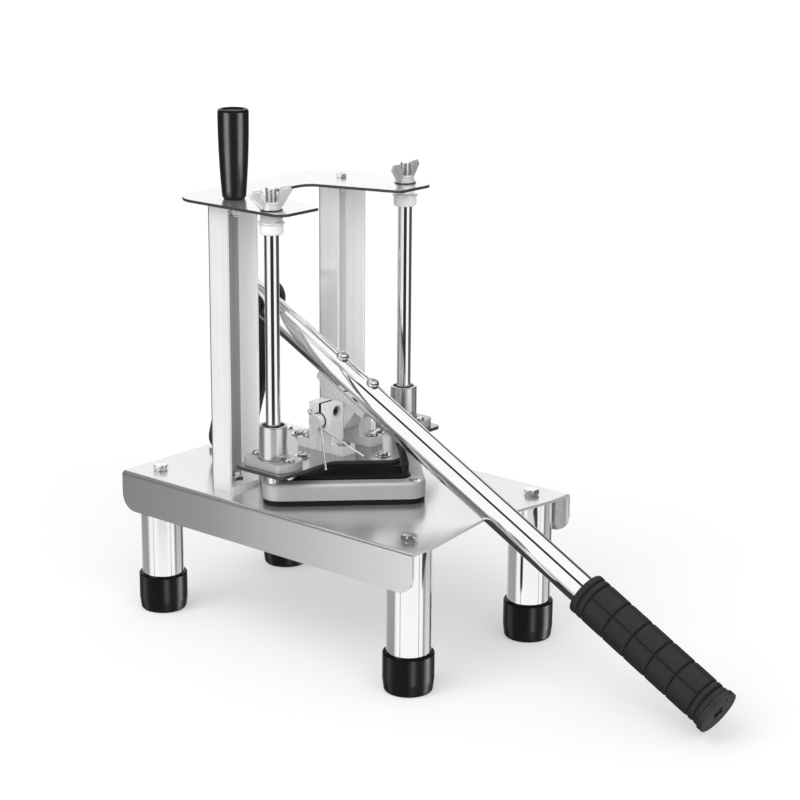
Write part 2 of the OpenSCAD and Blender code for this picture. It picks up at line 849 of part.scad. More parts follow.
// A steel sleeve with a flange that has two flats and two screws
module bearing(side) {
    color("silver") translate([side * fixing_radius, 0, plate_top]) difference() {
        union() {
            cylinder(r = bearing_radius, h = bearing_length);
            linear_extrude(bearing_flange) intersection() {
                circle(d = bearing_flange_length);
                square([bearing_flange_width, bearing_flange_length], center = true);
            }
        }
        translate([0, 0, -over]) cylinder(r = cage_radius, h = bearing_length + 2 * over);
        for (y = [-bearing_screw_y, bearing_screw_y])
            translate([0, y]) hole(m4_thread + screw_play, bearing_flange, bearing_flange + over);
    }
}

module bearing_cages() {
    color("dimgray") at_rods() translate([0, 0, plate_top]) difference() {
        cylinder(r = cage_radius, h = bearing_length - cage_recess);
        translate([0, 0, -over])
            cylinder(r = rod_radius + running_gap, h = bearing_length + 2 * over);
    }
}

module bearing_screws() {
    color("silver") at_bearing_screws() translate([0, 0, flange_top])
        pan_screw(m4_head_radius, m4_head, m4_thread,
                  bearing_flange + plate_sheet + m4_nut + screw_tail / 2);
}

module bearing_nuts() {
    color("silver") at_bearing_screws() translate([0, 0, block_top - m4_nut])
        hex_nut(m4_across, m4_nut, m4_thread);
}

// A foot with a tower, split above the pin and drawn together by a clamp screw
module pivot_support(side) {
    color("gainsboro") translate([side * support_x, 0, plate_top]) difference() {
        rotate([90, 0, 90]) linear_extrude(support_thickness, center = true) {
            translate([-support_foot / 2, 0]) square([support_foot, support_foot_height]);
            translate([-support_tower / 2, 0]) square([support_tower, support_height]);
        }
        translate([0, 0, pivot_height]) rotate([0, 90, 0])
            cylinder(r = pivot_radius, h = support_thickness + 2 * over, center = true);
        translate([-support_thickness, -clamp_slot / 2, pivot_height])
            cube([2 * support_thickness, clamp_slot, support_height]);
        translate([0, 0, clamp_rise]) rotate([90, 0, 0]) {
            cylinder(r = m4_thread, h = support_tower + 2 * over, center = true);
            translate([0, 0, support_tower / 2 - clamp_pocket_depth])
                cylinder(r = clamp_pocket, h = clamp_pocket_depth + over);
        }
        for (y = [-support_screw_y, support_screw_y]) translate([0, y])
            hole(m5_thread + screw_play, support_foot_height, support_foot_height + over);
    }
}

module pivot_support_screws() {
    color("silver") at_support_screws() translate([0, 0, plate_top + support_foot_height])
        pan_screw(m5_head_radius, m5_head, m5_thread,
                  support_foot_height + plate_sheet + block_height - 2 * hole_floor);
}

// Socket screws, with their heads deep in the pockets on the front of the supports
module clamp_screws() {
    seat = clamp_pocket_depth - support_tower / 2;
    color("dimgray") for (side = [-1, 1])
        translate([side * support_x, seat, plate_top + clamp_rise]) rotate([90, 0, 0]) {
            difference() {
                cylinder(r = socket_head_radius, h = socket_head);
                translate([0, 0, socket_head - recess_depth])
                    cylinder(r = socket_radius, h = recess_depth + over, $fn = 6);
            }
            translate([0, 0, -support_tower / 2]) cylinder(r = m4_thread, h = support_tower / 2);
        }
}

module pivot_pin() {
    end = support_space / 2 + support_thickness;
    color("silver") translate([0, 0, pivot_z]) rotate([0, 90, 0]) difference() {
        union() {
            translate([0, 0, -end - pin_stand])
                cylinder(r = pivot_radius, h = 2 * end + pin_stand);
            translate([0, 0, end]) cylinder(r = pin_head_radius, h = pin_head);
        }
        translate([0, 0, -end - split_offset]) rotate(split_turn) rotate([0, 90, 0])
            cylinder(r = split_radius, h = 2 * pin_head_radius, center = true);
    }
}

// A doubled wire through the pin's end: an eye behind it and two spread legs in front
module split_pin() {
    x = -(support_space / 2 + support_thickness + split_offset);
    eye_floor = pivot_radius + side_gap + split_wire;
    tip = pivot_radius + split_wire;
    color("silver") translate([x, 0, pivot_z]) {
        rotate([split_turn, 0, 0]) {
            translate([0, 0, eye_floor + split_eye]) rotate([90, 0, 0])
                rotate_extrude() translate([split_eye, 0]) circle(r = split_wire);
            translate([0, 0, -tip]) cylinder(r = split_radius, h = tip + eye_floor);
        }
        for (leg = [0, 1]) rotate([split_turn, 0, 0])
            translate([(1 / 2 - leg) * split_wire, 0, -tip]) rotate([-split_turn, 0, 0])
                rotate([split_leg_turns[leg][0], split_leg_turns[leg][1], 0])
                    cylinder(r = split_wire, h = split_leg_lengths[leg]);
    }
}

module lever_tube() {
    length = rear_reach + tube_tail + grip_start + grip_length;
    color("silver") in_lever() translate([0, 0, pivot_to_tube]) difference() {
        translate([-rear_reach - tube_tail, 0, 0]) rotate([0, 90, 0]) difference() {
            cylinder(r = tube_radius, h = length);
            translate([0, 0, -over])
                cylinder(r = tube_radius - tube_wall, h = length + 2 * over);
        }
        translate([-rear_reach, 0, 0]) rotate([90, 0, 0])
            cylinder(r = link_pin + tube_wall, h = 2 * tube_radius + 2 * over, center = true);
        for (side = [-1, 1])
            translate([saddle_middle + side * saddle_screw_space / 2, 0, 0])
                cylinder(r = m5_thread + screw_play, h = 2 * tube_radius + 2 * over,
                         center = true);
    }
}

// A saddle under the tube, with a lug down to the boss on the pivot pin
module lever_bracket() {
    under = pivot_to_tube - tube_radius;
    seat = under - saddle_height / 2;
    color("gainsboro") in_lever() difference() {
        union() {
            rotate([90, 0, 0]) cylinder(r = boss_radius, h = 2 * boss_half, center = true);
            translate([saddle_middle - saddle_length / 2, -saddle_half, seat])
                cube([saddle_length, 2 * saddle_half, saddle_height]);
            rotate([90, 0, 0]) linear_extrude(2 * lug_half, center = true)
                polygon([[-boss_radius, 0], [boss_radius, 0],
                         [saddle_middle + saddle_length / 3, seat + saddle_height / 2],
                         [saddle_middle - saddle_length / 2, seat + saddle_height / 2]]);
        }
        translate([0, 0, pivot_to_tube]) rotate([0, 90, 0])
            cylinder(r = tube_radius, h = 2 * saddle_length, center = true);
        rotate([90, 0, 0])
            cylinder(r = pivot_radius + running_gap, h = 2 * boss_half + 2 * over,
                     center = true);
        for (side = [-1, 1])
            translate([saddle_middle + side * saddle_screw_space / 2, 0, seat - over])
                cylinder(r = m5_thread, h = saddle_height + 2 * over);
    }
}

module lever_bracket_screws() {
    color("silver") in_lever() for (side = [-1, 1])
        translate([saddle_middle + side * saddle_screw_space / 2, 0,
                   pivot_to_tube + tube_radius])
            pan_screw(m5_head_radius, m5_head, m5_thread, 2 * tube_radius + saddle_height / 2);
}

// A rubber sleeve with a collar and a ring at both ends, and rows of blocks between them
module lever_grip() {
    ring_start = grip_collar + groove_width / 2;
    rows_start = ring_start + grip_ring + groove_width;
    row_length = (grip_length - 2 * rows_start) / grip_rows;
    color("black") in_lever() translate([grip_start, 0, pivot_to_tube]) rotate([0, 90, 0])
        difference() {
            cylinder(r = grip_radius, h = grip_length);
            translate([0, 0, -over]) cylinder(r = tube_radius, h = grip_length + 2 * over);
            for (z = [ring_start, grip_length - ring_start]) grip_groove(z);
            for (row = [0 : grip_rows]) grip_groove(rows_start + row * row_length);
            for (lane = [1 : grip_lanes]) rotate(grip_turn + lane * 360 / grip_lanes)
                translate([grip_radius - groove_depth, -groove_width / 2, rows_start])
                    cube([groove_depth + over, groove_width, grip_length - 2 * rows_start]);
        }
}

module grip_groove(z) {
    translate([0, 0, z - groove_width / 2]) difference() {
        cylinder(r = grip_radius + over, h = groove_width);
        translate([0, 0, -over])
            cylinder(r = grip_radius - groove_depth, h = groove_width + 2 * over);
    }
}

module lever_end_cap() {
    color("black") in_lever() translate([grip_start + grip_length, 0, pivot_to_tube])
        rotate([0, 90, 0]) difference() {
            union() {
                cylinder(r = cap_radius, h = cap_height);
                translate([0, 0, -cap_plug])
                    cylinder(r = tube_radius - tube_wall, h = cap_plug);
            }
            for (slot = [0, 90]) rotate(slot) translate([0, 0, cap_height])
                cube([cap_slot_length, cap_slot, 2 * cap_slot_depth], center = true);
            translate([-cap_hole_rise, 0, cap_height - cap_slot_depth])
                cylinder(r = cap_hole, h = cap_slot_depth + over);
        }
}

// The link bolt's middle runs in this bush, which crosses the tube
module lever_bush() {
    color("dimgray") in_lever() translate([-rear_reach, 0, pivot_to_tube]) rotate([90, 0, 0])
        cylinder(r = link_pin + tube_wall, h = 2 * tube_radius, center = true);
}

module link_plate(side) {
    color("dimgray") translate([side * link_mid_x, anchor[0], anchor[1]])
        rotate([link_lean, 0, 0]) rotate([90, 0, 90]) difference() {
            linear_extrude(link_sheet, center = true)
                strap_outline(link_foot_radius, link_radius, link_length);
            cylinder(r = link_pin + running_gap, h = link_sheet + 2 * over, center = true);
            translate([0, link_length, 0])
                cylinder(r = link_pin, h = link_sheet + 2 * over, center = true);
        }
}

// The two ends of the link bolt, each with its head outside and its stub in the plate
module link_bolts() {
    outside = link_in + link_sheet;
    color("silver") translate([0, rear_pivot[0], rear_pivot[1]]) for (side = [-1, 1])
        rotate([0, side * 90, 0]) {
            translate([0, 0, link_in]) cylinder(r = link_pin, h = link_sheet);
            translate([0, 0, outside]) cylinder(r = bolt_head_radius, h = bolt_head, $fn = 6);
        }
}

base_plate();
leg(-1, -1);  // leg_front_left
leg(1, -1);  // leg_front_right
leg(-1, 1);  // leg_rear_left
leg(1, 1);  // leg_rear_right
foot(-1, -1);  // foot_front_left
foot(1, -1);  // foot_front_right
foot(-1, 1);  // foot_rear_left
foot(1, 1);  // foot_rear_right
leg_plugs();
leg_bolts();
column(-1);  // column_left
column(1);  // column_right
column_bolts();
column_nuts();
top_plate();
hand_grip();
hand_grip_stud();
guide_rod(-1);  // guide_rod_left
guide_rod(1);  // guide_rod_right
rod_nuts();
rod_stop_nuts();
rod_bumpers();
wing_nut(-1, wing_left_turn);  // wing_nut_left
wing_nut(1, wing_right_turn);  // wing_nut_right
blade_frame();
blade_gasket();
blades_upper();
blades_lower();
frame_screws();
frame_nuts();
link_bracket();
link_anchor_pin();
link_bracket_screws();
pusher_plate();
pusher_block();
pusher_block_screws();
bearing(-1);  // bearing_left
bearing(1);  // bearing_right
bearing_cages();
bearing_screws();
bearing_nuts();
pivot_support(-1);  // pivot_support_left
pivot_support(1);  // pivot_support_right
pivot_support_screws();
clamp_screws();
pivot_pin();
split_pin();
lever_tube();
lever_bracket();
lever_bracket_screws();
lever_grip();
lever_end_cap();
lever_bush();
link_plate(-1);  // link_left
link_plate(1);  // link_right
link_bolts();
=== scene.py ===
import json
import math

import bmesh
import bpy
from mathutils import Matrix, Vector


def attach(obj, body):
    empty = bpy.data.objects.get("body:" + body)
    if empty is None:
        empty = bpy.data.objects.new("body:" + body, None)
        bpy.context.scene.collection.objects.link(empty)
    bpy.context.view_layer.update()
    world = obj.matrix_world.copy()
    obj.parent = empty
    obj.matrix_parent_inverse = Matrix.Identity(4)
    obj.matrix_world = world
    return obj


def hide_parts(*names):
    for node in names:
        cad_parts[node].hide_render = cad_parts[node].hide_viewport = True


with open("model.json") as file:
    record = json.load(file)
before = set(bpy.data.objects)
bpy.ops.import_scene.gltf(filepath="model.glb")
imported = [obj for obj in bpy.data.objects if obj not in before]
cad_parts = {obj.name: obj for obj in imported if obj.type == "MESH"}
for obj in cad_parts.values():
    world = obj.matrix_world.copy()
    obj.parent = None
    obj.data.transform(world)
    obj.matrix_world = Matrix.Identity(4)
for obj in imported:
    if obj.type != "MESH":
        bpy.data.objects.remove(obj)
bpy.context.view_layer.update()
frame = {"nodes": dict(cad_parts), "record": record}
nodes = frame["nodes"]
record = frame["record"]
scene = bpy.context.scene

MM = 0.001
BODY = {n: b for b, members in record["behaviour"]["bodies"].items() for n in members}

# ---------------------------------------------------------------- sizes, in millimetres
# They repeat the named sizes of part.scad. Names in _TOP, _UNDER, _LOW and _HIGH are levels.
BASE_TOP, BASE_UNDER = 104.0, 102.0
BASE_MID = -2.0
LEG_X, LEG_Y, LEG_R, LEG_BORE = 65.0, 116.0, 15, 13.5
FOOT_R, FOOT_TOP, FOOT_FLOOR = 17.3, 27.5, 5
COLUMN_X, COLUMN_Y = 55.5, 48.5
TAB = 3
TOP, TOP_UNDER = 306.5, 304.5
KNOB_FORWARD = 2.4
ROD_X, ROD_R = 68.0, 5
ROD_LOW, ROD_HIGH = 93.5, 321.5
BUMPER_LOW, STOP_LOW = 290.5, 297.5
RING_TOP = 119.5
BLOCK_TOP = 128.5
PLATE_TOP = 131.0
EAR_X, EAR_Y, PLATE_CORNER = 84, 22, 33.15
BLOCK_SCREW_R = 39
WASHER = 0.5
BEARING_R, BEARING_BORE, BEARING_TOP = 9.5, 7.5, 160
FLANGE_R, FLANGE_HALF, FLANGE_TOP, FLANGE_SCREW_Y = 20, 12.5, 137, 14.5
SUPPORT_X, SUPPORT_SCREW_Y, SUPPORT_FOOT_TOP = 14.75, 16, 137.5
CLAMP_Y = -4
PIN_R, PIN_FACE = 5, -21.25
PIVOT_Z = 153.0
TILT = math.radians(27.6)
TUBE_RISE, TUBE_R, TUBE_BORE, TUBE_REAR = 27.6, 10, 8, -114
GRIP_START, GRIP_LENGTH, GRIP_R = 225.0, 113.0, 14.75
GRIP_END = GRIP_START + GRIP_LENGTH
GRIP_COLLAR, GRIP_RING, GRIP_ROWS = 9.9, 4.9, 5
CAP_R = 15.8
ANCHOR = (0, 106, 118)
LINK_BOLT = (0, 75.83, 223.79)
BRACKET_SCREW_Y = 8

# Threads as (radius, pitch), nuts as (across the flats, height, bore's radius) and pan heads
# as (radius, height, thread's radius).
M4, M5, M6, M8 = (2, 0.7), (2.5, 0.8), (3, 1), (4, 1.25)
NUT_M4, NUT_M5, NUT_M6, NUT_M8 = (7, 3.2, 2), (8, 4, 2.5), (10, 5, 3), (13, 6.5, 4)
STOP_NUT = (13, 5.7, 4)
PAN_M4, PAN_M5 = (3.6, 2.6, 2), (4.4, 3, 2.5)

LEVER = (Matrix.Translation((0, 0, PIVOT_Z)) @ Matrix.Rotation(TILT, 4, "X")
         @ Matrix.Rotation(-math.pi / 2, 4, "Z"))
TUBE = LEVER @ Matrix.Translation((0, 0, TUBE_RISE)) @ Matrix.Rotation(math.pi / 2, 4, "Y")


# ---------------------------------------------------------------- mesh helpers
def at(x, y, z):
    return Matrix.Translation((x, y, z))


def turned(degrees, axis):
    return Matrix.Rotation(math.radians(degrees), 4, axis)


def corner_arc(before, corner, after, steps):
    """The points of the arc that rounds a corner (x, y, radius)."""
    c = Vector(corner[:2])
    a, b = Vector(before[:2]) - c, Vector(after[:2]) - c
    half = a.angle(b) / 2
    cut = min(corner[2] / math.tan(half), a.length * 0.49, b.length * 0.49)
    r = cut * math.tan(half)
    centre = c + (a.normalized() + b.normalized()).normalized() * (r / math.sin(half))
    start = c + a.normalized() * cut - centre
    total = start.angle_signed(c + b.normalized() * cut - centre)
    out = []
    for k in range(steps + 1):
        t = -total * k / steps
        out.append((centre.x + start.x * math.cos(t) - start.y * math.sin(t),
                    centre.y + start.x * math.sin(t) + start.y * math.cos(t)))
    return out


def soften(points, steps=4, closed=False):
    """Points (x, y) or (x, y, radius): each corner with a radius becomes an arc."""
    out, n = [], len(points)
    for i, p in enumerate(points):
        if len(p) < 3 or not p[2] or (not closed and i in (0, n - 1)):
            out.append((p[0], p[1]))
        else:
            out += corner_arc(points[i - 1], p, points[(i + 1) % n], steps)
    return out


class Shape:
    """Collects vertices and faces in millimetres, and makes one piece of them."""

    def __init__(self):
        self.verts, self.faces = [], []

    def add(self, verts, faces, matrix=Matrix()):
        base = len(self.verts)
        self.verts += [matrix @ Vector(v) for v in verts]
        self.faces += [tuple(base + i for i in f) for f in faces]

    def lathe(self, profile, matrix=Matrix(), segs=64, radius=None):
        """Turns (r, z) points about Z. radius(r, angle, z) may change the radius."""
        verts, faces, rows = [], [], []
        for r, z in profile:
            if r < 1e-6:
                rows.append([len(verts)])
                verts.append((0, 0, z))
                continue
            row = []
            for k in range(segs):
                t = 2 * math.pi * k / segs
                rr = radius(r, t, z) if radius else r
                row.append(len(verts))
                verts.append((rr * math.cos(t), rr * math.sin(t), z))
            rows.append(row)
        for a, b in zip(rows, rows[1:]):
            for k in range(segs):
                n = (k + 1) % segs
                if len(a) == 1 and len(b) == 1:
                    break
                if len(a) == 1:
                    faces.append((a[0], b[k], b[n]))
                elif len(b) == 1:
                    faces.append((a[k], b[0], a[n]))
                else:
                    faces.append((a[k], b[k], b[n], a[n]))
        self.add(verts, faces, matrix)

    def hexed(self, profile, across, matrix=Matrix()):
        """A turned shape whose radius is clipped by a hexagon, as on bolts and nuts."""
        def clip(r, t, z):
            wrap = (t + math.pi / 6) % (math.pi / 3) - math.pi / 6
            return min(r, across / 2 / math.cos(wrap))
        self.lathe(profile, matrix, 96, clip)

    def thread(self, size, z0, z1, matrix=Matrix(), crest=0.0):
        """A closed threaded rod with chamfered ends. crest is the share left uncut."""
        r, pitch = size
        depth = 0.55 * pitch
        rows_a_turn, chamfer = 8, 1.2
        rows = max(2, int((z1 - z0) / pitch * rows_a_turn))
        profile = [(0, z0)] + [(r, z0 + (z1 - z0) * k / rows) for k in range(rows + 1)] + [(0, z1)]

        def cut(_, t, z):
            phase = (z / pitch - t / (2 * math.pi)) % 1.0
            groove = depth * max(0.0, 1 - abs(2 * phase - 1) / (1 - crest)) ** 0.8
            end = min(z - z0, z1 - z)
            return max(r * 0.5, min(r - groove, r - depth * 1.3 + end * chamfer))
        self.lathe(profile, matrix, 40, cut)

    def plate(self, outline, holes, z0, z1, matrix=Matrix()):
        """A flat plate of any outline with holes through it; the faces are filled triangles."""
        flat = bmesh.new()
        for loop in [outline] + holes:
            ring_ = [flat.verts.new((x, y, 0)) for x, y in loop]
            for k in range(len(ring_)):
                flat.edges.new((ring_[k], ring_[(k + 1) % len(ring_)]))
        bmesh.ops.triangle_fill(flat, use_beauty=True, use_dissolve=False, edges=flat.edges)
        flat.verts.index_update()
        points = [v.co.copy() for v in flat.verts]
        faces = [[v.index for v in f.verts] for f in flat.faces]
        flat.free()
        n, verts = len(points), []
        for z in (z0, z1):
            verts += [(p.x, p.y, z) for p in points]
        sides, first = [], 0
        for loop in [outline] + holes:
            m = len(loop)
            sides += [(first + k, first + (k + 1) % m, n + first + (k + 1) % m, n + first + k)
                      for k in range(m)]
            first += m
        self.add(verts, faces + [[n + i for i in f] for f in faces] + sides, matrix)

    def grid(self, rows, matrix=Matrix(), wrap=False):
        """Faces over equal rows of points."""
        n = len(rows[0])
        verts = [p for row in rows for p in row]
        faces = []
        for j in range(len(rows) - 1):
            for k in range(n if wrap else n - 1):
                m = (k + 1) % n
                faces.append((j * n + k, j * n + m, (j + 1) * n + m, (j + 1) * n + k))
        self.add(verts, faces, matrix)

    def piece(self, name, material, node, sharp=32, bevel=0, bevel_steps=2, edge=None):
        """Makes the piece, which stands for a CAD node and rides where the node does."""
        bm = bmesh.new()
        mesh = bpy.data.meshes.new(name)
        mesh.from_pydata([v * MM for v in self.verts], [], self.faces)
        bm.from_mesh(mesh)
        bmesh.ops.remove_doubles(bm, verts=bm.verts, dist=1e-7)
        bmesh.ops.recalc_face_normals(bm, faces=bm.faces)
        return make_piece(name, bm, material, node, sharp, bevel, bevel_steps, edge)


def make_piece(name, bm, material, node, sharp, bevel, bevel_steps, edge=None):
    """Breaks the edges, hides the CAD node and puts the piece on the node's body. edge is its
    sides' material.
    """
    if bevel:
        edges = [e for e in bm.edges if len(e.link_faces) == 2
                 and e.calc_face_angle(0) > math.radians(sharp)]
        bmesh.ops.bevel(bm, geom=edges, offset=bevel * MM, segments=bevel_steps, profile=0.6,
                        affect="EDGES", clamp_overlap=True, loop_slide=False)
    mesh = bpy.data.meshes.new(name)
    if edge:
        for f in bm.faces:
            f.material_index = int(abs(f.normal.z) < 0.5)
    bm.to_mesh(mesh)
    bm.free()
    mesh.polygons.foreach_set("use_smooth", [True] * len(mesh.polygons))
    mesh.set_sharp_from_angle(angle=math.radians(sharp))
    obj = bpy.data.objects.new(name, mesh)
    scene.collection.objects.link(obj)
    mesh.materials.append(material)
    if edge:
        mesh.materials.append(edge)
    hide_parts(node)
    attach(obj, BODY[node])
    mod = obj.modifiers.new("normals", "WEIGHTED_NORMAL")
    mod.keep_sharp = True
    mod.weight = 60
    return obj


def dress(node, material, bevel=0.3, bevel_steps=2, sharp=32, edge=None):
    """A clean copy of a CAD node's solid with its edges broken, which stands for the node."""
    bm = bmesh.new()
    bm.from_mesh(nodes[node].data)
    bmesh.ops.remove_doubles(bm, verts=bm.verts, dist=2e-6)
    bmesh.ops.dissolve_limit(bm, angle_limit=math.radians(0.6), verts=bm.verts, edges=bm.edges)
    return make_piece(node + "_look", bm, material, node, sharp, bevel, bevel_steps, edge)


def circle(x, y, r, segs=32):
    return [(x + r * math.cos(2 * math.pi * k / segs), y + r * math.sin(2 * math.pi * k / segs))
            for k in range(segs)]


def flange_outline(radius, half):
    """A circle cut by two flats, as (x, y) points with its four corners eased."""
    ease = 2.2
    top = math.acos(half / radius)
    arc = [(radius * math.cos(t), radius * math.sin(t))
           for t in (top + (math.pi - 2 * top) * k / 24 for k in range(25))]
    arc[0] = (half, arc[0][1] - ease)
    arc[-1] = (-half, arc[-1][1] - ease)
    arc.insert(1, (half - ease * 0.35, arc[0][1] + ease * 0.75))
    arc.insert(-1, (-half + ease * 0.35, arc[0][1] + ease * 0.75))
    return arc + [(-x, -y) for x, y in arc]


# ---------------------------------------------------------------- material helpers
class Finish:
    """A procedural material: a Principled shader with noise, grain and bump around it."""

    def __init__(self, name, colour, rough, metallic=0.0, specular=0.5):
        self.mat = bpy.data.materials.new(name)
        self.mat.use_nodes = True
        self.nt = self.mat.node_tree
        self.shader = self.nt.nodes["Principled BSDF"]
        self.colour, self.rough = colour, rough
        s = self.shader.inputs
        s["Metallic"].default_value = metallic
        s["Specular IOR Level"].default_value = specular
        self.coords = self.node("ShaderNodeTexCoord").outputs["Object"]
        self.height = None
        self.tone = None
        self.grit = None

    def node(self, kind, **props):
        n = self.nt.nodes.new(kind)
        for k, v in props.items():
            setattr(n, k, v)
        return n

    def math(self, operation, a, b=None, clamp=False):
        n = self.node("ShaderNodeMath", operation=operation, use_clamp=clamp)
        for i, v in enumerate((a, b)):
            if v is None:
                continue
            if isinstance(v, (int, float)):
                n.inputs[i].default_value = v
            else:
                self.nt.links.new(v, n.inputs[i])
        return n.outputs[0]

    def axis(self, letter, source=None):
        """A coordinate, in metres: the object's own, unless a source is given."""
        split = self.node("ShaderNodeSeparateXYZ")
        self.nt.links.new(source or self.coords, split.inputs[0])
        return split.outputs[letter]

    def noise(self, scale, detail=3, stretch=(1, 1, 1)):
        """Noise of so many cells to the metre, which stretch makes longer along an axis."""
        m = self.node("ShaderNodeMapping")
        m.inputs["Scale"].default_value = tuple(scale / s for s in stretch)
        self.nt.links.new(self.coords, m.inputs["Vector"])
        n = self.node("ShaderNodeTexNoise")
        n.inputs["Scale"].default_value = 1
        n.inputs["Detail"].default_value = detail
        n.inputs["Roughness"].default_value = 0.55
        self.nt.links.new(m.outputs[0], n.inputs["Vector"])
        return n.outputs["Fac"]

    def centred(self, value, amount):
        return self.math("MULTIPLY", self.math("SUBTRACT", value, 0.5), amount)

    def plus(self, a, b):
        return b if a is None else self.math("ADD", a, b)

    def relief(self, value, depth):
        """Adds height, in millimetres."""
        self.height = self.plus(self.height, self.math("MULTIPLY", value, depth))
        return self

    def vary(self, value, tone=0.0, rough=0.0):
        """The colour and the roughness vary with a value around 0.5."""
        if tone:
            self.tone = self.plus(self.tone, self.centred(value, tone))
        if rough:
            self.grit = self.plus(self.grit, self.centred(value, rough))
        return self

    def shade(self, mask, tone):
        """Paints shade: where the mask is 1, the colour changes by this share."""
        self.tone = self.plus(self.tone, self.math("MULTIPLY", mask, tone))

    def brushed_across(self, x, y, z):
        """Rougher along this direction, which lies across the grain."""
        across = self.node("ShaderNodeCombineXYZ")
        for i, v in enumerate((x, y, z)):
            across.inputs[i].default_value = v
        self.shader.inputs["Anisotropic"].default_value = 0.75
        self.nt.links.new(across.outputs[0], self.shader.inputs["Tangent"])
        return self

    def done(self):
        s = self.shader.inputs
        s["Base Color"].default_value = (*self.colour, 1)
        s["Roughness"].default_value = self.rough
        if self.tone is not None:
            hsv = self.node("ShaderNodeHueSaturation")
            hsv.inputs["Color"].default_value = (*self.colour, 1)
            self.nt.links.new(self.math("ADD", self.tone, 1.0), hsv.inputs["Value"])
            self.nt.links.new(hsv.outputs[0], s["Base Color"])
        if self.grit is not None:
            self.nt.links.new(self.math("ADD", self.grit, self.rough, clamp=True),
                              s["Roughness"])
        if self.height is not None:
            bump = self.node("ShaderNodeBump")
            bump.inputs["Distance"].default_value = MM
            bump.inputs["Strength"].default_value = 1
            self.nt.links.new(self.height, bump.inputs["Height"])
            self.nt.links.new(bump.outputs[0], s["Normal"])
        return self.mat


def sheet(name, colour, rough, grain, depth=0.0012, tone=0.035, across=None, metallic=1):
    """Sheet steel with its grain along an axis, and faint handling marks."""
    f = Finish(name, colour, rough, metallic=metallic)
    fine = f.noise(2200, 2, tuple(70 if a == grain else 1 for a in "XYZ"))
    broad = f.noise(420, 2, tuple(40 if a == grain else 1 for a in "XYZ"))
    marks = f.noise(24, 4)
    f.relief(fine, depth).relief(broad, depth)
    f.vary(fine, tone, 0.10).vary(broad, tone * 0.8, 0.05).vary(marks, tone * 0.6, 0.06)
    if across:
        f.brushed_across(*across)
    return f


def brushed(*given, **more):
    return sheet(*given, **more).done()


def polished(name, colour, rough, grain="Z", depth=0.0012):
    """Mirror-like metal with faint lines along an axis."""
    f = Finish(name, colour, rough, metallic=1)
    fine = f.noise(1400, 2, tuple(40 if a == grain else 1 for a in "XYZ"))
    marks = f.noise(40, 4)
    f.relief(fine, depth)
    f.vary(fine, 0.02, 0.05).vary(marks, 0.02, 0.05)
    return f.done()


def plastic(name, colour, rough, fine=900, depth=0.02, tone=0.15, **more):
    """Plastic or rubber with a fine grain and broad clouds."""
    f = Finish(name, colour, rough, **more)
    grain = f.noise(fine, 3)
    cloud = f.noise(60, 3)
    f.relief(grain, depth)
    f.vary(grain, tone, 0.08).vary(cloud, tone, 0.1)
    return f.done()


def grit(name, colour, rough, metallic, fine, depth, tone, stretch=(1, 1, 1), grain_rough=0.15):
    """Metal with one even grain."""
    f = Finish(name, colour, rough, metallic=metallic)
    grain = f.noise(fine, 3 if stretch == (1, 1, 1) else 2, stretch)
    return f.relief(grain, depth).vary(grain, tone, grain_rough).done()


STEEL = (0.92, 0.92, 0.925)

# The table: the left side flange is darker towards its rear and less of a mirror towards its
# front, as the photograph shows it.
SIDE_PLANE = -0.0846
base = sheet("base_steel", (0.86, 0.86, 0.865), 0.22, "Y", across=(1, 0, 1), metallic=0.85)
_side = base.math("LESS_THAN", base.axis("X"), SIDE_PLANE)
# Painted shade: the left side flange's colour darkens towards its rear.
base.shade(_side, base.math("MINIMUM", base.math("MULTIPLY", base.axis("Y"), -1.6), 0))
_front = base.math("MINIMUM", base.math("ADD", base.math("MULTIPLY", base.axis("Y"), 2.7),
                                        -0.13), 0)
base.nt.links.new(base.math("ADD", base.math("MULTIPLY", _side, _front), 0.85),
                  base.shader.inputs["Metallic"])
base_steel = base.done()

# The columns: painted shade darkens the channel's web, more so in the left one, and the inner
# faces of the flanges have no mirror share.
WEB_FRONT, WEB_REAR = 0.0553, 0.0572
FLANGE_INSIDE = 0.013
column = sheet("column_steel", (0.95, 0.95, 0.955), 0.22, "Z", across=(1, 1, 0), metallic=0.35,
               tone=0.06)
column.vary(column.noise(240, 1, (1, 1, 200)), 0.14)
_web_shade = column.math("MULTIPLY", column.math("GREATER_THAN", column.axis("Y"), WEB_FRONT),
                   column.math("LESS_THAN", column.axis("Y"), WEB_REAR))
_right = column.math("GREATER_THAN", column.axis("X"), 0)
column.shade(_web_shade, column.math("ADD", -0.72, column.math("MULTIPLY", _right, 0.27)))
_off = column.math("ABSOLUTE", column.math(
    "SUBTRACT", column.math("ABSOLUTE", column.axis("X")), COLUMN_X * MM))
_inner = column.math("LESS_THAN", column.math(
    "ABSOLUTE", column.math("SUBTRACT", _off, FLANGE_INSIDE)), 0.0003)
column.nt.links.new(column.math("SUBTRACT", 0.35, column.math("MULTIPLY", _inner, 0.35)),
                    column.shader.inputs["Metallic"])
column_steel = column.done()
top_steel = brushed("top_steel", STEEL, 0.2, "X", across=(0, 1, 0), metallic=0.85)
plate_steel = brushed("plate_steel", (0.48, 0.48, 0.49), 0.22, "X")
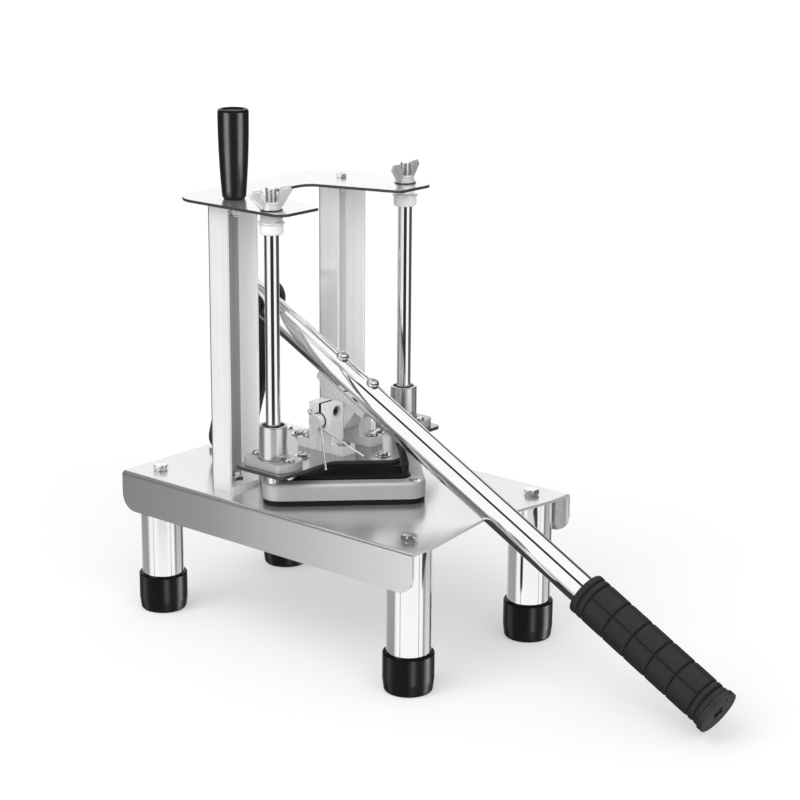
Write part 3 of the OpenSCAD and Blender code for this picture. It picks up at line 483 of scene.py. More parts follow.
# Dark on the sides of the cut plates, and painted shadow where it makes the thin rings under screw
# heads, the wing nuts and the pivot pin.
dark_edge_and_shadow = grit("dark_edge_and_shadow", (0.09, 0.09, 0.092), 0.45, 0.6, 1800, 0.01, 0.4, (1, 1, 6), 0.2)
bracket_steel = brushed("bracket_steel", STEEL, 0.3, "X")
leg_steel = polished("leg_steel", (0.94, 0.94, 0.945), 0.09)
tube_steel = polished("tube_steel", (0.95, 0.95, 0.955), 0.05, "Y")
rod_chrome = polished("rod_chrome", (0.94, 0.94, 0.945), 0.04)
flange_steel = grit("flange_steel", (0.62, 0.62, 0.625), 0.42, 0.6, 1500, 0.03, 0.25)
bearing_steel = polished("bearing_steel", (0.85, 0.85, 0.855), 0.26, "Z", 0.002)
screw_steel = polished("screw_steel", (0.9, 0.9, 0.905), 0.14, "Z", 0.002)
wing_steel = grit("wing_steel", (0.95, 0.95, 0.95), 0.2, 0.4, 1300, 0.015, 0.1)
# A darker copy of wing_steel, painted shade, for the right wing nut's wings.
wing_painted_shade = grit("wing_painted_shade", (0.6, 0.6, 0.605), 0.3, 0.4, 1300, 0.015, 0.25)
pin_steel = brushed("pin_steel", (0.93, 0.93, 0.935), 0.25, "X", 0.004, 0.1, metallic=0.6)
wire_steel = polished("wire_steel", (0.93, 0.93, 0.935), 0.15, "Z", 0.002)
blade_steel = polished("blade_steel", (0.8, 0.8, 0.805), 0.2, "Z", 0.003)

cast = Finish("cast_aluminium", (0.66, 0.66, 0.665), 0.5, metallic=0.5)
_grit = cast.noise(1500, 3)
_sand = cast.noise(420, 3)
cast.relief(_grit, 0.07).relief(_sand, 0.06)
cast.vary(_grit, 0.42, 0.2).vary(_sand, 0.16, 0.1).vary(cast.noise(30, 3), 0.06)
cast_aluminium = cast.done()

# The supports: saw marks and grain, and painted shade inside the clamp slot above the pin.
SLOT_HALF, SLOT_LOW = 0.00112, 0.1565
milled = Finish("milled_aluminium", (0.93, 0.93, 0.935), 0.38, metallic=0.2)
_saw = milled.noise(800, 2, (1, 1, 30))
_grit = milled.noise(1000, 3)
milled.relief(_saw, 0.05).relief(_grit, 0.04)
milled.vary(_saw, 0.45, 0.12).vary(_grit, 0.5, 0.1).vary(milled.noise(50, 3), 0.05)
_slot_shade = milled.math("LESS_THAN", milled.math("ABSOLUTE", milled.axis("Y")), SLOT_HALF)
_slot_shade = milled.math("MULTIPLY", _slot_shade, milled.math("GREATER_THAN", milled.axis("Z"), SLOT_LOW))
milled.shade(_slot_shade, -0.93)
milled_aluminium = milled.done()

boss = Finish("boss_aluminium", (0.74, 0.74, 0.745), 0.4, metallic=0.3)
_grit = boss.noise(1000, 3)
boss.relief(_grit, 0.06).vary(_grit, 0.75, 0.15).vary(boss.noise(60, 3), 0.08)
boss_aluminium = boss.done()

block_black = plastic("block_black", (0.003, 0.003, 0.0033), 0.17, 1200, 0.004, specular=0.5)
gasket_black = plastic("gasket_black", (0.010, 0.010, 0.0105), 0.5, 900, 0.02, specular=0.3)
grip_gloss = plastic("grip_gloss", (0.003, 0.003, 0.0033), 0.28, 160, 0.0004, 0.1, specular=0.1)
foot_rubber = plastic("foot_rubber", (0.003, 0.003, 0.003), 0.3, 1100, 0.006, specular=0.09)

# The rubber grip: painted shade darkens its grooves, which are also duller, found by the distance
# from the tube's axis.
rubber = Finish("grip_rubber", (0.017, 0.017, 0.0175), 0.5, specular=0.4)
_grain = rubber.noise(1400, 3)
_along = rubber.node("ShaderNodeMapping", vector_type="TEXTURE")
_along.inputs["Location"].default_value = TUBE.translation * MM
_along.inputs["Rotation"].default_value = TUBE.to_euler()
rubber.nt.links.new(rubber.coords, _along.inputs["Vector"])
_x, _y = (rubber.axis(letter, _along.outputs[0]) for letter in "XY")
_out = rubber.math("SQRT", rubber.math("ADD", rubber.math("MULTIPLY", _x, _x),
                                       rubber.math("MULTIPLY", _y, _y)))
_low = rubber.math("MULTIPLY", rubber.math("SUBTRACT", GRIP_R * MM - 0.0001, _out), 1 / MM,
                   clamp=True)
rubber.relief(_grain, 0.02).vary(_grain, 0.2, 0.1)
# Painted shade in the grooves.
rubber.shade(_low, -0.75)
rubber.grit = rubber.math("ADD", rubber.grit, rubber.math("MULTIPLY", _low, 0.3))
grip_rubber = rubber.done()
cage_plastic = plastic("cage_plastic", (0.012, 0.012, 0.013), 0.4, specular=0.4)
nylon = plastic("nylon", (0.95, 0.95, 0.94), 0.42, 900, 0.01, tone=0.04)
link_black = plastic("link_black", (0.02, 0.02, 0.021), 0.35, 1400, 0.02, tone=0.3)
cap_plastic = plastic("cap_plastic", (0.02, 0.02, 0.021), 0.42, 1200, 0.02, tone=0.4)


# ---------------------------------------------------------------- turned shapes and fasteners
def ring(r_in, r_out, z0, z1, round_=0.3, inner=0.2):
    """The closed profile of a ring, which starts and ends in the middle of its bore."""
    mid = (z0 + z1) / 2
    return soften([(r_in, mid), (r_in, z0, inner), (r_out, z0, round_), (r_out, z1, round_),
                   (r_in, z1, inner), (r_in, mid)])


def rod(r, z0, z1, round_=0.3):
    """The profile of a plain round bar."""
    return soften([(0, z0), (r, z0, round_), (r, z1, round_), (0, z1)])


def hex_head(shape, across, height, matrix, washer=0.35):
    """A bolt's head on its seat at z = 0: a thin washer face, six flats and a turned chamfer."""
    corner = across / math.sqrt(3)
    shape.hexed([(0, 0), (across * 0.47, 0), (across * 0.47, washer), (across * 0.49, washer),
                 (corner, washer + 0.25), (corner, height - 0.75), (across * 0.475, height),
                 (across * 0.40, height), (across * 0.37, height - 0.12),
                 (0, height - 0.12)], across, matrix)


def hex_nut(shape, size, matrix):
    """A chamfered nut with its lower face at z = 0."""
    across, height, bore = size
    corner, lip = across / math.sqrt(3), across * 0.475
    shape.hexed([(bore, height / 2), (bore, 0.5), (bore + 0.5, 0), (lip, 0), (corner, 0.75),
                 (corner, height - 0.75), (lip, height), (bore + 0.5, height),
                 (bore, height - 0.5), (bore, height / 2)], across, matrix)


def cross_edge(reach, half):
    """Distance from the axis to the edge of a cross-shaped recess, at an angle."""
    def edge(t):
        q = (t + math.pi / 4) % (math.pi / 2) - math.pi / 4
        return min(reach / math.cos(q), half / max(abs(math.sin(q)), 1e-6))
    return edge


def hex_edge(across):
    """Distance from the axis to the edge of a hexagonal recess, at an angle."""
    return lambda t: across / 2 / math.cos((t + math.pi / 6) % (math.pi / 3) - math.pi / 6)


def cross_marks(reach, half):
    """The angles at which the edge of a cross has its corners."""
    a = math.atan2(half, reach)
    return a, math.pi / 2 - a, math.pi / 4


def cupped(shape, radius, height, edge, depth, matrix, floor=0.5, power=3.2, side=0.42,
           marks=()):
    """A domed screw head on its seat at z = 0, with a recess of any outline in its top."""
    angles = sorted({2 * math.pi * k / 64 for k in range(64)}
                    | {(a + k * math.pi / 2) % (2 * math.pi) for a in marks for k in range(4)})

    def dome(r):
        return side * height + (1 - side) * height * max(0.0, 1 - (r / radius) ** power) ** 0.5

    rows = [[(0.0, 0.0)] * len(angles)]
    rows += [[(r, 0.0)] * len(angles) for r in (radius * 0.6, radius - 0.15)]
    rows.append([(radius, 0.15)] * len(angles))
    rows += [[(r, dome(r))] * len(angles) for r in (radius, radius * 0.985, radius * 0.95,
                                                    radius * 0.9, radius * 0.83)]
    rim = [min(edge(a), radius * 0.78) for a in angles]
    for part in (0.66, 0.33, 0.08):
        rows.append([(e + (radius * 0.83 - e) * part,
                      dome(e + (radius * 0.83 - e) * part)) for e in rim])
    rows.append([(e, dome(e) - 0.06) for e in rim])
    rows.append([(e * 0.93, height - depth * 0.75) for e in rim])
    rows.append([(e * floor, height - depth) for e in rim])
    rows.append([(0.0, height - depth)] * len(angles))
    shape.grid([[(r * math.cos(a), r * math.sin(a), z) for (r, z), a in zip(row, angles)]
                for row in rows], matrix, wrap=True)


def pan_screw(shape, size, length, matrix, turn=20, shadow_rings=None):
    """A pan-head screw with a cross recess, turned by turn degrees. The thin dark ring of painted
    shadow under its head goes into the shape given as seats."""
    radius, height, thread = size
    reach, half = radius * 0.58, radius * 0.13
    cupped(shape, radius, height, cross_edge(reach, half), height * 0.62,
           matrix @ turned(turn, "Z"), 0.55, marks=cross_marks(reach, half))
    shape.lathe(rod(thread, -length, 0.2, 0.4), matrix, 24)
    if shadow_rings:
        shadow_rings.lathe(ring(thread, radius + 0.45, -0.05, 0.3, 0.1, 0.1), matrix, 48)


# ---------------------------------------------------------------- table, legs and feet
dress("base_plate", base_steel, 0.25, 2)
corners = {"front_left": (-1, -1), "front_right": (1, -1), "rear_left": (-1, 1),
           "rear_right": (1, 1)}
for where, (sx, sy) in corners.items():
    spot = at(sx * LEG_X, BASE_MID + sy * LEG_Y, 0)
    leg = Shape()
    leg.lathe(ring(LEG_BORE, LEG_R, FOOT_FLOOR, BASE_UNDER), spot, 96)
    leg.piece("leg_" + where + "_tube", leg_steel, "leg_" + where)
    foot = Shape()
    socket = LEG_R - 0.04
    foot.lathe(soften([(0, FOOT_FLOOR), (socket, FOOT_FLOOR, 0.5), (socket, FOOT_TOP, 0.3),
                       (FOOT_R, FOOT_TOP, 1.1), (FOOT_R, 9, 14), (FOOT_R - 1.1, 0, 2.4),
                       (10.6, 0, 0.4), (10, 0.9, 0.3), (0, 0.9)], 6), spot, 96)
    foot.piece("foot_" + where + "_rubber", foot_rubber, "foot_" + where)
dress("leg_plugs", cage_plastic, 0.3)

bolts = Shape()
for (sx, sy), turn in zip(corners.values(), (-12, 25, 8, -20)):
    spot = at(sx * LEG_X, BASE_MID + sy * LEG_Y, BASE_TOP) @ turned(turn, "Z")
    hex_head(bolts, NUT_M6[0], 4, spot)
    bolts.lathe(rod(M6[0], -14, 0.2), spot, 24)
bolts.piece("leg_bolts_hex", screw_steel, "leg_bolts")

# ---------------------------------------------------------------- columns and top plate
dress("column_left", column_steel, 0.2, 2)
dress("column_right", column_steel, 0.2, 2)
dress("top_plate", top_steel, 0.2, 2, edge=dark_edge_and_shadow)
bolts, nuts = Shape(), Shape()
for side in (-1, 1):
    spot = at(side * COLUMN_X, COLUMN_Y, BASE_UNDER) @ turned(180, "X")
    hex_head(bolts, NUT_M6[0], 4, spot)
    bolts.thread(M6, -12, 0.2, spot)
    hex_nut(nuts, NUT_M6, at(side * COLUMN_X, COLUMN_Y, BASE_TOP + TAB) @ turned(15, "Z"))
spot = at(COLUMN_X, COLUMN_Y, TOP)
hex_head(bolts, NUT_M4[0], 2.6, spot @ turned(10, "Z"), 0.2)
bolts.thread(M4, -10.2, 0.2, spot)
hex_nut(nuts, NUT_M6, at(-COLUMN_X, COLUMN_Y - KNOB_FORWARD, TOP_UNDER - TAB - NUT_M6[1]))
hex_nut(nuts, NUT_M4, at(COLUMN_X, COLUMN_Y, TOP_UNDER - TAB - NUT_M4[1]))
bolts.piece("column_bolts_hex", screw_steel, "column_bolts")
nuts.piece("column_nuts_hex", screw_steel, "column_nuts")

knob_at = at(-COLUMN_X, COLUMN_Y - KNOB_FORWARD, TOP)
grip = Shape()
swell = [(8.2 + 2.3 * math.sin(math.pi / 2 * (k / 16) ** 0.9), 3 + 53.5 * k / 16)
         for k in range(17)]
grip.lathe(soften([(0, 0), (6.9, 0, 0.6), (8.2, 2.2, 1.2)] + swell
                  + [(10.5, 59.2, 1.2), (9.6, 60.5, 0.7), (7.9, 60.5, 0.3), (7.4, 59.6, 0.3),
                     (0, 59.2)], 6), knob_at, 96)
grip.piece("hand_grip_gloss", grip_gloss, "hand_grip")
stud = Shape()
stud.thread(M6, -12, 24, knob_at)
stud.piece("hand_grip_stud_thread", screw_steel, "hand_grip_stud")

# ---------------------------------------------------------------- guide rods and their nuts
nuts, stops, bumpers = Shape(), Shape(), Shape()
for side, name in ((-1, "left"), (1, "right")):
    spot = at(side * ROD_X, 0, 0)
    shaft = Shape()
    shaft.thread(M8, ROD_LOW, RING_TOP + 0.1, spot)
    shaft.lathe(rod(ROD_R, RING_TOP, BUMPER_LOW, 0.4), spot, 96)
    shaft.thread(M8, BUMPER_LOW - 0.1, ROD_HIGH, spot, 0.45)
    shaft.piece("guide_rod_" + name + "_chrome", rod_chrome, "guide_rod_" + name)
    hex_nut(nuts, NUT_M8,
            at(side * ROD_X, 0, BASE_UNDER - NUT_M8[1]) @ turned(side * 12, "Z"))
    hex_nut(stops, STOP_NUT,
            at(side * ROD_X, 0, TOP_UNDER - STOP_NUT[1]) @ turned(side * 9, "Z"))
    stops.lathe(ring(M8[0], 8.8, STOP_LOW, STOP_LOW + 1.4, 0.5), spot, 64)
    bumpers.lathe(ring(M8[0] + 0.05, 8, BUMPER_LOW, STOP_LOW, 1.4, 0.4), spot, 64)
nuts.piece("rod_nuts_hex", screw_steel, "rod_nuts")
stops.piece("rod_stop_nuts_hex", wing_steel, "rod_stop_nuts")
bumpers.piece("rod_bumpers_nylon", nylon, "rod_bumpers")


def along(line, u):
    """The point at a share u of a polyline's length."""
    points = [Vector(p) for p in line]
    lengths = [(b - a).length for a, b in zip(points, points[1:])]
    rest = u * sum(lengths)
    for a, b, length in zip(points, points[1:], lengths):
        if rest <= length:
            return a.lerp(b, rest / length)
        rest -= length
    return points[-1]


def wing_rows(lower, upper):
    """A wing of a wing nut: loops round its thickness, from the hub out to its tip."""
    steps, across = 24, 25
    rows = []
    for i in range(steps + 1):
        u = i / steps
        low, high = along(lower, u), along(upper, u)
        tip = max(0.0, (u - 0.9) / 0.1)
        loop = []
        for j in range(2 * across + 2):
            near = j <= across
            v = (j if near else 2 * across + 1 - j) / across
            rim = min(v, 1 - v) * (high - low).length
            thick = 1.5 * (1 - 0.3 * u) * math.sqrt(max(0.0, 1 - tip ** 2))
            thick *= min(1.0, 0.35 + math.sqrt(rim / 1.4) * 0.65)
            ribs = 0.42 * abs(math.sin(math.pi * 6 * v)) * min(1, 4 * u) * (1 - tip)
            q = low.lerp(high, v)
            loop.append((q.x, (1 if near else -1) * max(0.02, thick - ribs), q.y))
        rows.append(loop)
    for at_end in (0, -1):
        mid = [(x, 0, z) for x, y, z in rows[at_end]]
        rows = [mid] + rows if at_end == 0 else rows + [mid]
    return rows


bore, hub_top = M8[0] + 0.05, 5.5
hub_mid = 2.5
hub = soften([(bore, hub_mid), (bore, 0, 0.4), (7, 0, 0.3), (6.95, 1.4, 0.5), (5.9, 3.6, 2),
              (5.5, hub_top, 0.7), (bore, hub_top, 0.4), (bore, hub_mid)], 5)
lower = soften([(4.6, 1), (9.3, 1, 4), (18.9, 11.1)], 8)
upper = soften([(4.9, hub_top), (6.4, 10), (8.2, 14, 1.5), (16.5, 14.3)], 6)
# The right nut's wings take the darker copy, painted shade.
for side, name, turn, shade in ((-1, "wing_nut_left", -5, wing_steel),
                                (1, "wing_nut_right", 9, wing_painted_shade)):
    spot = at(side * ROD_X, 0, TOP) @ turned(turn, "Z")
    nut, wings, seat = Shape(), Shape(), Shape()
    nut.lathe(hub, spot, 64)
    for half in (0, 180):
        wings.grid(wing_rows(lower, upper), spot @ turned(half, "Z"), wrap=True)
    nut.piece(name + "_cast", wing_steel, name, sharp=50)
    wings.piece(name + "_wings", shade, name, sharp=50)
    # A thin dark ring of painted shadow where the hub sits on the top plate.
    seat.lathe(ring(4.3, 7.45, 0, 0.8, 0.1, 0.1), spot, 64)
    seat.piece(name + "_shadow_ring", dark_edge_and_shadow, name)

# ---------------------------------------------------------------- blade frame
dress("blade_frame", cast_aluminium, 0.5, 3, sharp=40)
dress("blade_gasket", gasket_black, 0.3)
dress("blades_upper", blade_steel, 0)
dress("blades_lower", blade_steel, 0)
screws, nuts = Shape(), Shape()
for side in (-1, 1):
    spot = at(0, side * ROD_X, RING_TOP)
    head, sunk, reach, half = 4.4, 0.5, 2.5, 0.6
    cupped(screws, head, sunk, cross_edge(reach, half), 1.8, spot @ at(0, 0, -sunk), 0.55,
           side=0.1, marks=cross_marks(reach, half))
    screws.lathe([(0, -3), (M5[0], -3), (head, -0.45), (0, -0.45)], spot, 48)
    screws.thread(M5, -24.5, -2.9, spot)
    hex_nut(nuts, NUT_M5, at(0, side * ROD_X, BASE_UNDER - NUT_M5[1]) @ turned(20, "Z"))
screws.piece("frame_screws_sunk", screw_steel, "frame_screws")
nuts.piece("frame_nuts_hex", screw_steel, "frame_nuts")

# ---------------------------------------------------------------- link bracket
dress("link_bracket", bracket_steel, 0.4)
pin = Shape()
head, shank, inner, outer = 7, 4, 14.8, 17.8
pin.lathe(soften([(0, -outer), (head, -outer, 0.8), (head, -inner, 0.3), (shank, -inner),
                  (shank, inner), (head, inner, 0.3), (head, outer, 0.8), (0, outer)], 4),
          at(*ANCHOR) @ turned(90, "Y"), 64)
pin.piece("link_anchor_pin_turned", link_black, "link_anchor_pin")
screws = Shape()
for side in (-1, 1):
    y = ANCHOR[1] + side * BRACKET_SCREW_Y
    pan_screw(screws, PAN_M5, 11, at(0, y, BASE_TOP + TAB), 30)
    hex_nut(screws, NUT_M5, at(0, y, BASE_UNDER - NUT_M5[1]))
screws.piece("link_bracket_screws_pan", screw_steel, "link_bracket_screws")

# ---------------------------------------------------------------- pusher
half = []
for flip in (1, -1):
    half += [(EAR_X * flip, -EAR_Y * flip, 4), (EAR_X * flip, EAR_Y * flip, 4),
             (PLATE_CORNER * flip, EAR_Y * flip, 9),
             (0, (PLATE_CORNER + EAR_Y) * flip, 8),
             (-PLATE_CORNER * flip, EAR_Y * flip, 9)]
m4_hole, m5_hole = M4[0] + 0.3, M5[0] + 0.3
holes = [circle(side * ROD_X, 0, ROD_R + 1, 40) for side in (-1, 1)]
holes += [circle(side * ROD_X, y, m4_hole, 20) for side in (-1, 1)
          for y in (-FLANGE_SCREW_Y, FLANGE_SCREW_Y)]
holes += [circle(side * SUPPORT_X, y, m5_hole, 20) for side in (-1, 1)
          for y in (-SUPPORT_SCREW_Y, SUPPORT_SCREW_Y)]
holes += [circle(x * BLOCK_SCREW_R, y * BLOCK_SCREW_R, m4_hole, 20)
          for x, y in ((1, 0), (0, 1), (-1, 0), (0, -1))]
plate = Shape()
plate.plate(soften(half, 8, closed=True), holes, BLOCK_TOP, PLATE_TOP)
plate.piece("pusher_plate_cut", plate_steel, "pusher_plate", bevel=0.25, edge=dark_edge_and_shadow)
dress("pusher_block", block_black, 0.4)
screws, washers, shadow_rings = Shape(), Shape(), Shape()
for k in range(4):
    spot = turned(90 * k, "Z") @ at(BLOCK_SCREW_R, 0, PLATE_TOP)
    pan_screw(screws, PAN_M4, 10.5, spot @ at(0, 0, WASHER), 15 + 31 * k, shadow_rings)
    washers.lathe(ring(2.1, 5.6, 0, 0.6, 0.2, 0.1), spot, 48)
washers.piece("pusher_block_screws_washers", screw_steel, "pusher_block_screws")
# Thin dark rings of painted shadow under the screw heads.
shadow_rings.piece("pusher_block_screws_shadow_rings", dark_edge_and_shadow, "pusher_block_screws")
screws.piece("pusher_block_screws_pan", screw_steel, "pusher_block_screws")
for side, name in ((-1, "bearing_left"), (1, "bearing_right")):
    spot = at(side * ROD_X, 0, 0)
    sleeve = Shape()
    sleeve.lathe(ring(BEARING_BORE, BEARING_R, PLATE_TOP, BEARING_TOP, 0.7, 0.5), spot, 96)
    sleeve.piece(name + "_sleeve", bearing_steel, name)
    flange = Shape()
    flange.plate(flange_outline(FLANGE_R, FLANGE_HALF),
                 [circle(0, 0, BEARING_R + 0.6, 48), circle(0, FLANGE_SCREW_Y, m4_hole),
                  circle(0, -FLANGE_SCREW_Y, m4_hole)], PLATE_TOP, FLANGE_TOP, spot)
    flange.piece(name + "_flange", flange_steel, name, bevel=1.1, bevel_steps=3)
cages, screws, nuts, shadow_rings = Shape(), Shape(), Shape(), Shape()
for side in (-1, 1):
    cages.lathe(ring(ROD_R + 0.05, BEARING_BORE, PLATE_TOP, BEARING_TOP - 1.1),
                at(side * ROD_X, 0, 0), 64)
    for y in (-FLANGE_SCREW_Y, FLANGE_SCREW_Y):
        pan_screw(screws, PAN_M4, 12.7, at(side * ROD_X, y, FLANGE_TOP), 40 + 17 * side + y,
                  shadow_rings)
        hex_nut(nuts, NUT_M4, at(side * ROD_X, y, BLOCK_TOP - NUT_M4[1]) @ turned(y, "Z"))
cages.piece("bearing_cages_ring", cage_plastic, "bearing_cages")
screws.piece("bearing_screws_pan", screw_steel, "bearing_screws")
# Thin dark rings of painted shadow under the screw heads.
shadow_rings.piece("bearing_screws_shadow_rings", dark_edge_and_shadow, "bearing_screws")
nuts.piece("bearing_nuts_hex", screw_steel, "bearing_nuts")
dress("pivot_support_left", milled_aluminium, 0.5, 2)
dress("pivot_support_right", milled_aluminium, 0.5, 2)
screws, sockets, shadow_rings = Shape(), Shape(), Shape()
for side in (-1, 1):
    for y in (-SUPPORT_SCREW_Y, SUPPORT_SCREW_Y):
        pan_screw(screws, PAN_M5, 17, at(side * SUPPORT_X, y, SUPPORT_FOOT_TOP),
                  25 * side + 2 * y, shadow_rings)
    spot = at(side * SUPPORT_X, CLAMP_Y, BEARING_TOP) @ turned(90, "X")
    cupped(sockets, 3.5, 4, hex_edge(3), 2.2, spot, 0.8, 12, 0.9)
    sockets.lathe(rod(M4[0], -10, 0.2), spot, 24)
screws.piece("pivot_support_screws_pan", screw_steel, "pivot_support_screws")
# Thin dark rings of painted shadow under the screw heads.
shadow_rings.piece("pivot_support_screws_shadow_rings", dark_edge_and_shadow, "pivot_support_screws")
sockets.piece("clamp_screws_socket", link_black, "clamp_screws")
dress("pivot_pin", pin_steel, 0.6, 3)
# A thin dark ring of painted shadow round the pin where it meets the support.
seat = Shape()
seat.lathe(ring(PIN_R + 0.02, PIN_R + 0.9, 0, 0.35, 0.1, 0.1),
           at(PIN_FACE, 0, PIVOT_Z) @ turned(-90, "Y"), 48)
seat.piece("pivot_pin_shadow_ring", dark_edge_and_shadow, "pivot_pin")
dress("split_pin", wire_steel, 0)

# ---------------------------------------------------------------- lever
tube = Shape()
tube.lathe(ring(TUBE_BORE, TUBE_R, TUBE_REAR, GRIP_END, 0.4), TUBE, 128)
tube.piece("lever_tube_chrome", tube_steel, "lever_tube")
dress("lever_bracket", boss_aluminium, 0.5, 3)
screws = Shape()
for x in (-17.5, 13.5):
    pan_screw(screws, PAN_M5, 22.5, LEVER @ at(x, 0, TUBE_RISE + TUBE_R), 10)
screws.piece("lever_bracket_screws_pan", screw_steel, "lever_bracket_screws")


def grip_radius(r, t, z):
    """The rubber's radius: collars, rings, rows of rounded blocks, and their diagonal ribs."""
    if r < GRIP_R - 0.01:
        return r
    z -= GRIP_START
    far = GRIP_LENGTH - z
    row_length = (GRIP_LENGTH - 2 * GRIP_COLLAR) / GRIP_ROWS
    inside = GRIP_COLLAR < z < GRIP_LENGTH - GRIP_COLLAR
    d_ring = min(abs(z - GRIP_RING), abs(far - GRIP_RING))
    if inside:
        d_ring = min(d_ring,
                     abs((z - GRIP_COLLAR + row_length / 2) % row_length - row_length / 2))
    else:
        d_ring = min(d_ring, abs(z - GRIP_COLLAR), abs(far - GRIP_COLLAR))
    lane = (math.degrees(t) + 6.5 + 30) % 60 - 30
    d_lane = abs(math.radians(lane)) * GRIP_R if inside else 9.0
    groove = max(math.exp(-(d_ring / 0.8) ** 2.4), 0.9 * math.exp(-(d_lane / 0.85) ** 2))
    crown = 0.1 * math.exp(-(d_ring / 2.2) ** 2) + 0.08 * math.exp(-(d_lane / 2) ** 2)
    ribs = 0.0
    if inside:
        wave = abs(((z + GRIP_R * t) / 2.1) % 1.0 - 0.5) * 2
        ribs = 0.24 * wave * min(1.0, max(0.0, (min(d_ring, d_lane) - 1.1) / 0.8))
    end = max(0.0, 0.9 - min(z, far))
    return r - 0.95 * groove - crown * (1 - groove) - ribs - 0.5 * end ** 2


rubber = Shape()
steps = 330
outer = [(GRIP_R, GRIP_START + GRIP_LENGTH * k / steps) for k in range(steps + 1)]
bore = TUBE_R + 0.02
rubber.lathe([(bore, 280), (bore, GRIP_START), (11.5, GRIP_START), (13.2, GRIP_START)] + outer
             + [(13, GRIP_END), (bore, GRIP_END), (bore, 280)], TUBE, 240, grip_radius)
rubber.piece("lever_grip_rubber", grip_rubber, "lever_grip", sharp=70)
cap = Shape()
reach, half = 5.2, 1.5
cross = soften([point for c, s in ((1, 0), (0, 1), (-1, 0), (0, -1)) for point in (
    (reach * c + half * s, reach * s - half * c, 0.4),
    (reach * c - half * s, reach * s + half * c, 0.4),
    (half * (c - s), half * (c + s), 0.3))], 3, closed=True)
cap_floor, cap_top = GRIP_END + 2.3, GRIP_END + 4
cap.lathe(rod(CAP_R, GRIP_END, cap_floor), TUBE, 96)
cap.lathe(rod(TUBE_BORE, GRIP_END - 20, GRIP_END + 0.2), TUBE, 48)
cap.plate(circle(0, 0, CAP_R, 96), [cross, circle(-11.5, 0, 1.2, 20)], cap_floor, cap_top, TUBE)
cap.lathe([(12.9, cap_top - 0.2), (13.1, cap_top), (13.6, cap_top), (13.8, cap_top - 0.2),
           (12.9, cap_top - 0.2)], TUBE, 96)
cap.piece("lever_end_cap_moulded", cap_plastic, "lever_end_cap", bevel=0.35, bevel_steps=2)
dress("lever_bush", cage_plastic, 0.3)
dress("link_left", link_black, 0.5)
dress("link_right", link_black, 0.5)
bolts = Shape()
for side in (-1, 1):
    spot = at(*LINK_BOLT) @ turned(side * 90, "Y")
    hex_head(bolts, 7 * math.sqrt(3), 4, spot @ at(0, 0, 14.5) @ turned(17, "Z"))
    bolts.lathe(rod(M8[0], 10.5, 14.7), spot, 32)
bolts.piece("link_bolts_hex", screw_steel, "link_bolts")

# ---------------------------------------------------------------- floor
def new_node(tree, kind, **values):
    """A node with some inputs set by name."""
    n = tree.nodes.new("ShaderNode" + kind)
    for name, value in values.items():
        n.inputs[name].default_value = value
    return n


WHITE = (1, 1, 1, 1)
FLOOR_HALF, FLOOR_GREY, FLOOR_GLOW = 6, 0.7, 0.34
corner_points = [(x * FLOOR_HALF, y * FLOOR_HALF, 0)
                 for x, y in ((-1, -1), (1, -1), (1, 1), (-1, 1))]
floor_mesh = bpy.data.meshes.new("floor")
floor_mesh.from_pydata(corner_points, [], [(0, 1, 2, 3)])
floor = bpy.data.objects.new("floor", floor_mesh)
scene.collection.objects.link(floor)
floor.visible_glossy = False
paper = bpy.data.materials.new("paper")
paper.use_nodes = True
nt = paper.node_tree
nt.nodes.clear()
diffuse = new_node(nt, "BsdfDiffuse", Color=(FLOOR_GREY, FLOOR_GREY, FLOOR_GREY, 1))
glow = new_node(nt, "Emission")
path = new_node(nt, "LightPath")
strength = new_node(nt, "Math")
strength.operation = "MULTIPLY"
strength.inputs[1].default_value = FLOOR_GLOW
both = new_node(nt, "AddShader")
out = new_node(nt, "OutputMaterial")
for source, target in ((path.outputs["Is Camera Ray"], strength.inputs[0]),
                       (strength.outputs[0], glow.inputs["Strength"]),
                       (diffuse.outputs[0], both.inputs[0]),
                       (glow.outputs[0], both.inputs[1]),
                       (both.outputs[0], out.inputs["Surface"])):
    nt.links.new(source, target)
floor_mesh.materials.append(paper)

# ---------------------------------------------------------------- world
world = bpy.data.worlds.new("studio")
scene.world = world
world.use_nodes = True
nt = world.node_tree
nt.nodes.clear()


def link(a, b):
    nt.links.new(a, b)


def op(operation, a, b=None):
    n = nt.nodes.new("ShaderNodeMath")
    n.operation = operation
    for i, v in enumerate((a, b)):
        if isinstance(v, (int, float)):
            n.inputs[i].default_value = v
        elif v is not None:
            link(v, n.inputs[i])
    return n.outputs[0]


def step(value, start, end):
    """0 below start, 1 above end, and smooth between them."""
    n = nt.nodes.new("ShaderNodeMapRange")
    n.interpolation_type = "SMOOTHSTEP"
    link(value, n.inputs["Value"])
    n.inputs["From Min"].default_value = start
    n.inputs["From Max"].default_value = end
    return n.outputs["Result"]


direction = nt.nodes.new("ShaderNodeTexCoord").outputs["Generated"]
split = nt.nodes.new("ShaderNodeSeparateXYZ")
link(direction, split.inputs[0])
DEGREES = 180 / math.pi
around = op("MULTIPLY", op("ARCTAN2", split.outputs["Y"], split.outputs["X"]), DEGREES)
azimuth = op("MODULO", op("ADD", around, 360), 360)
rise = op("MULTIPLY", op("ARCSINE", split.outputs["Z"]), DEGREES)


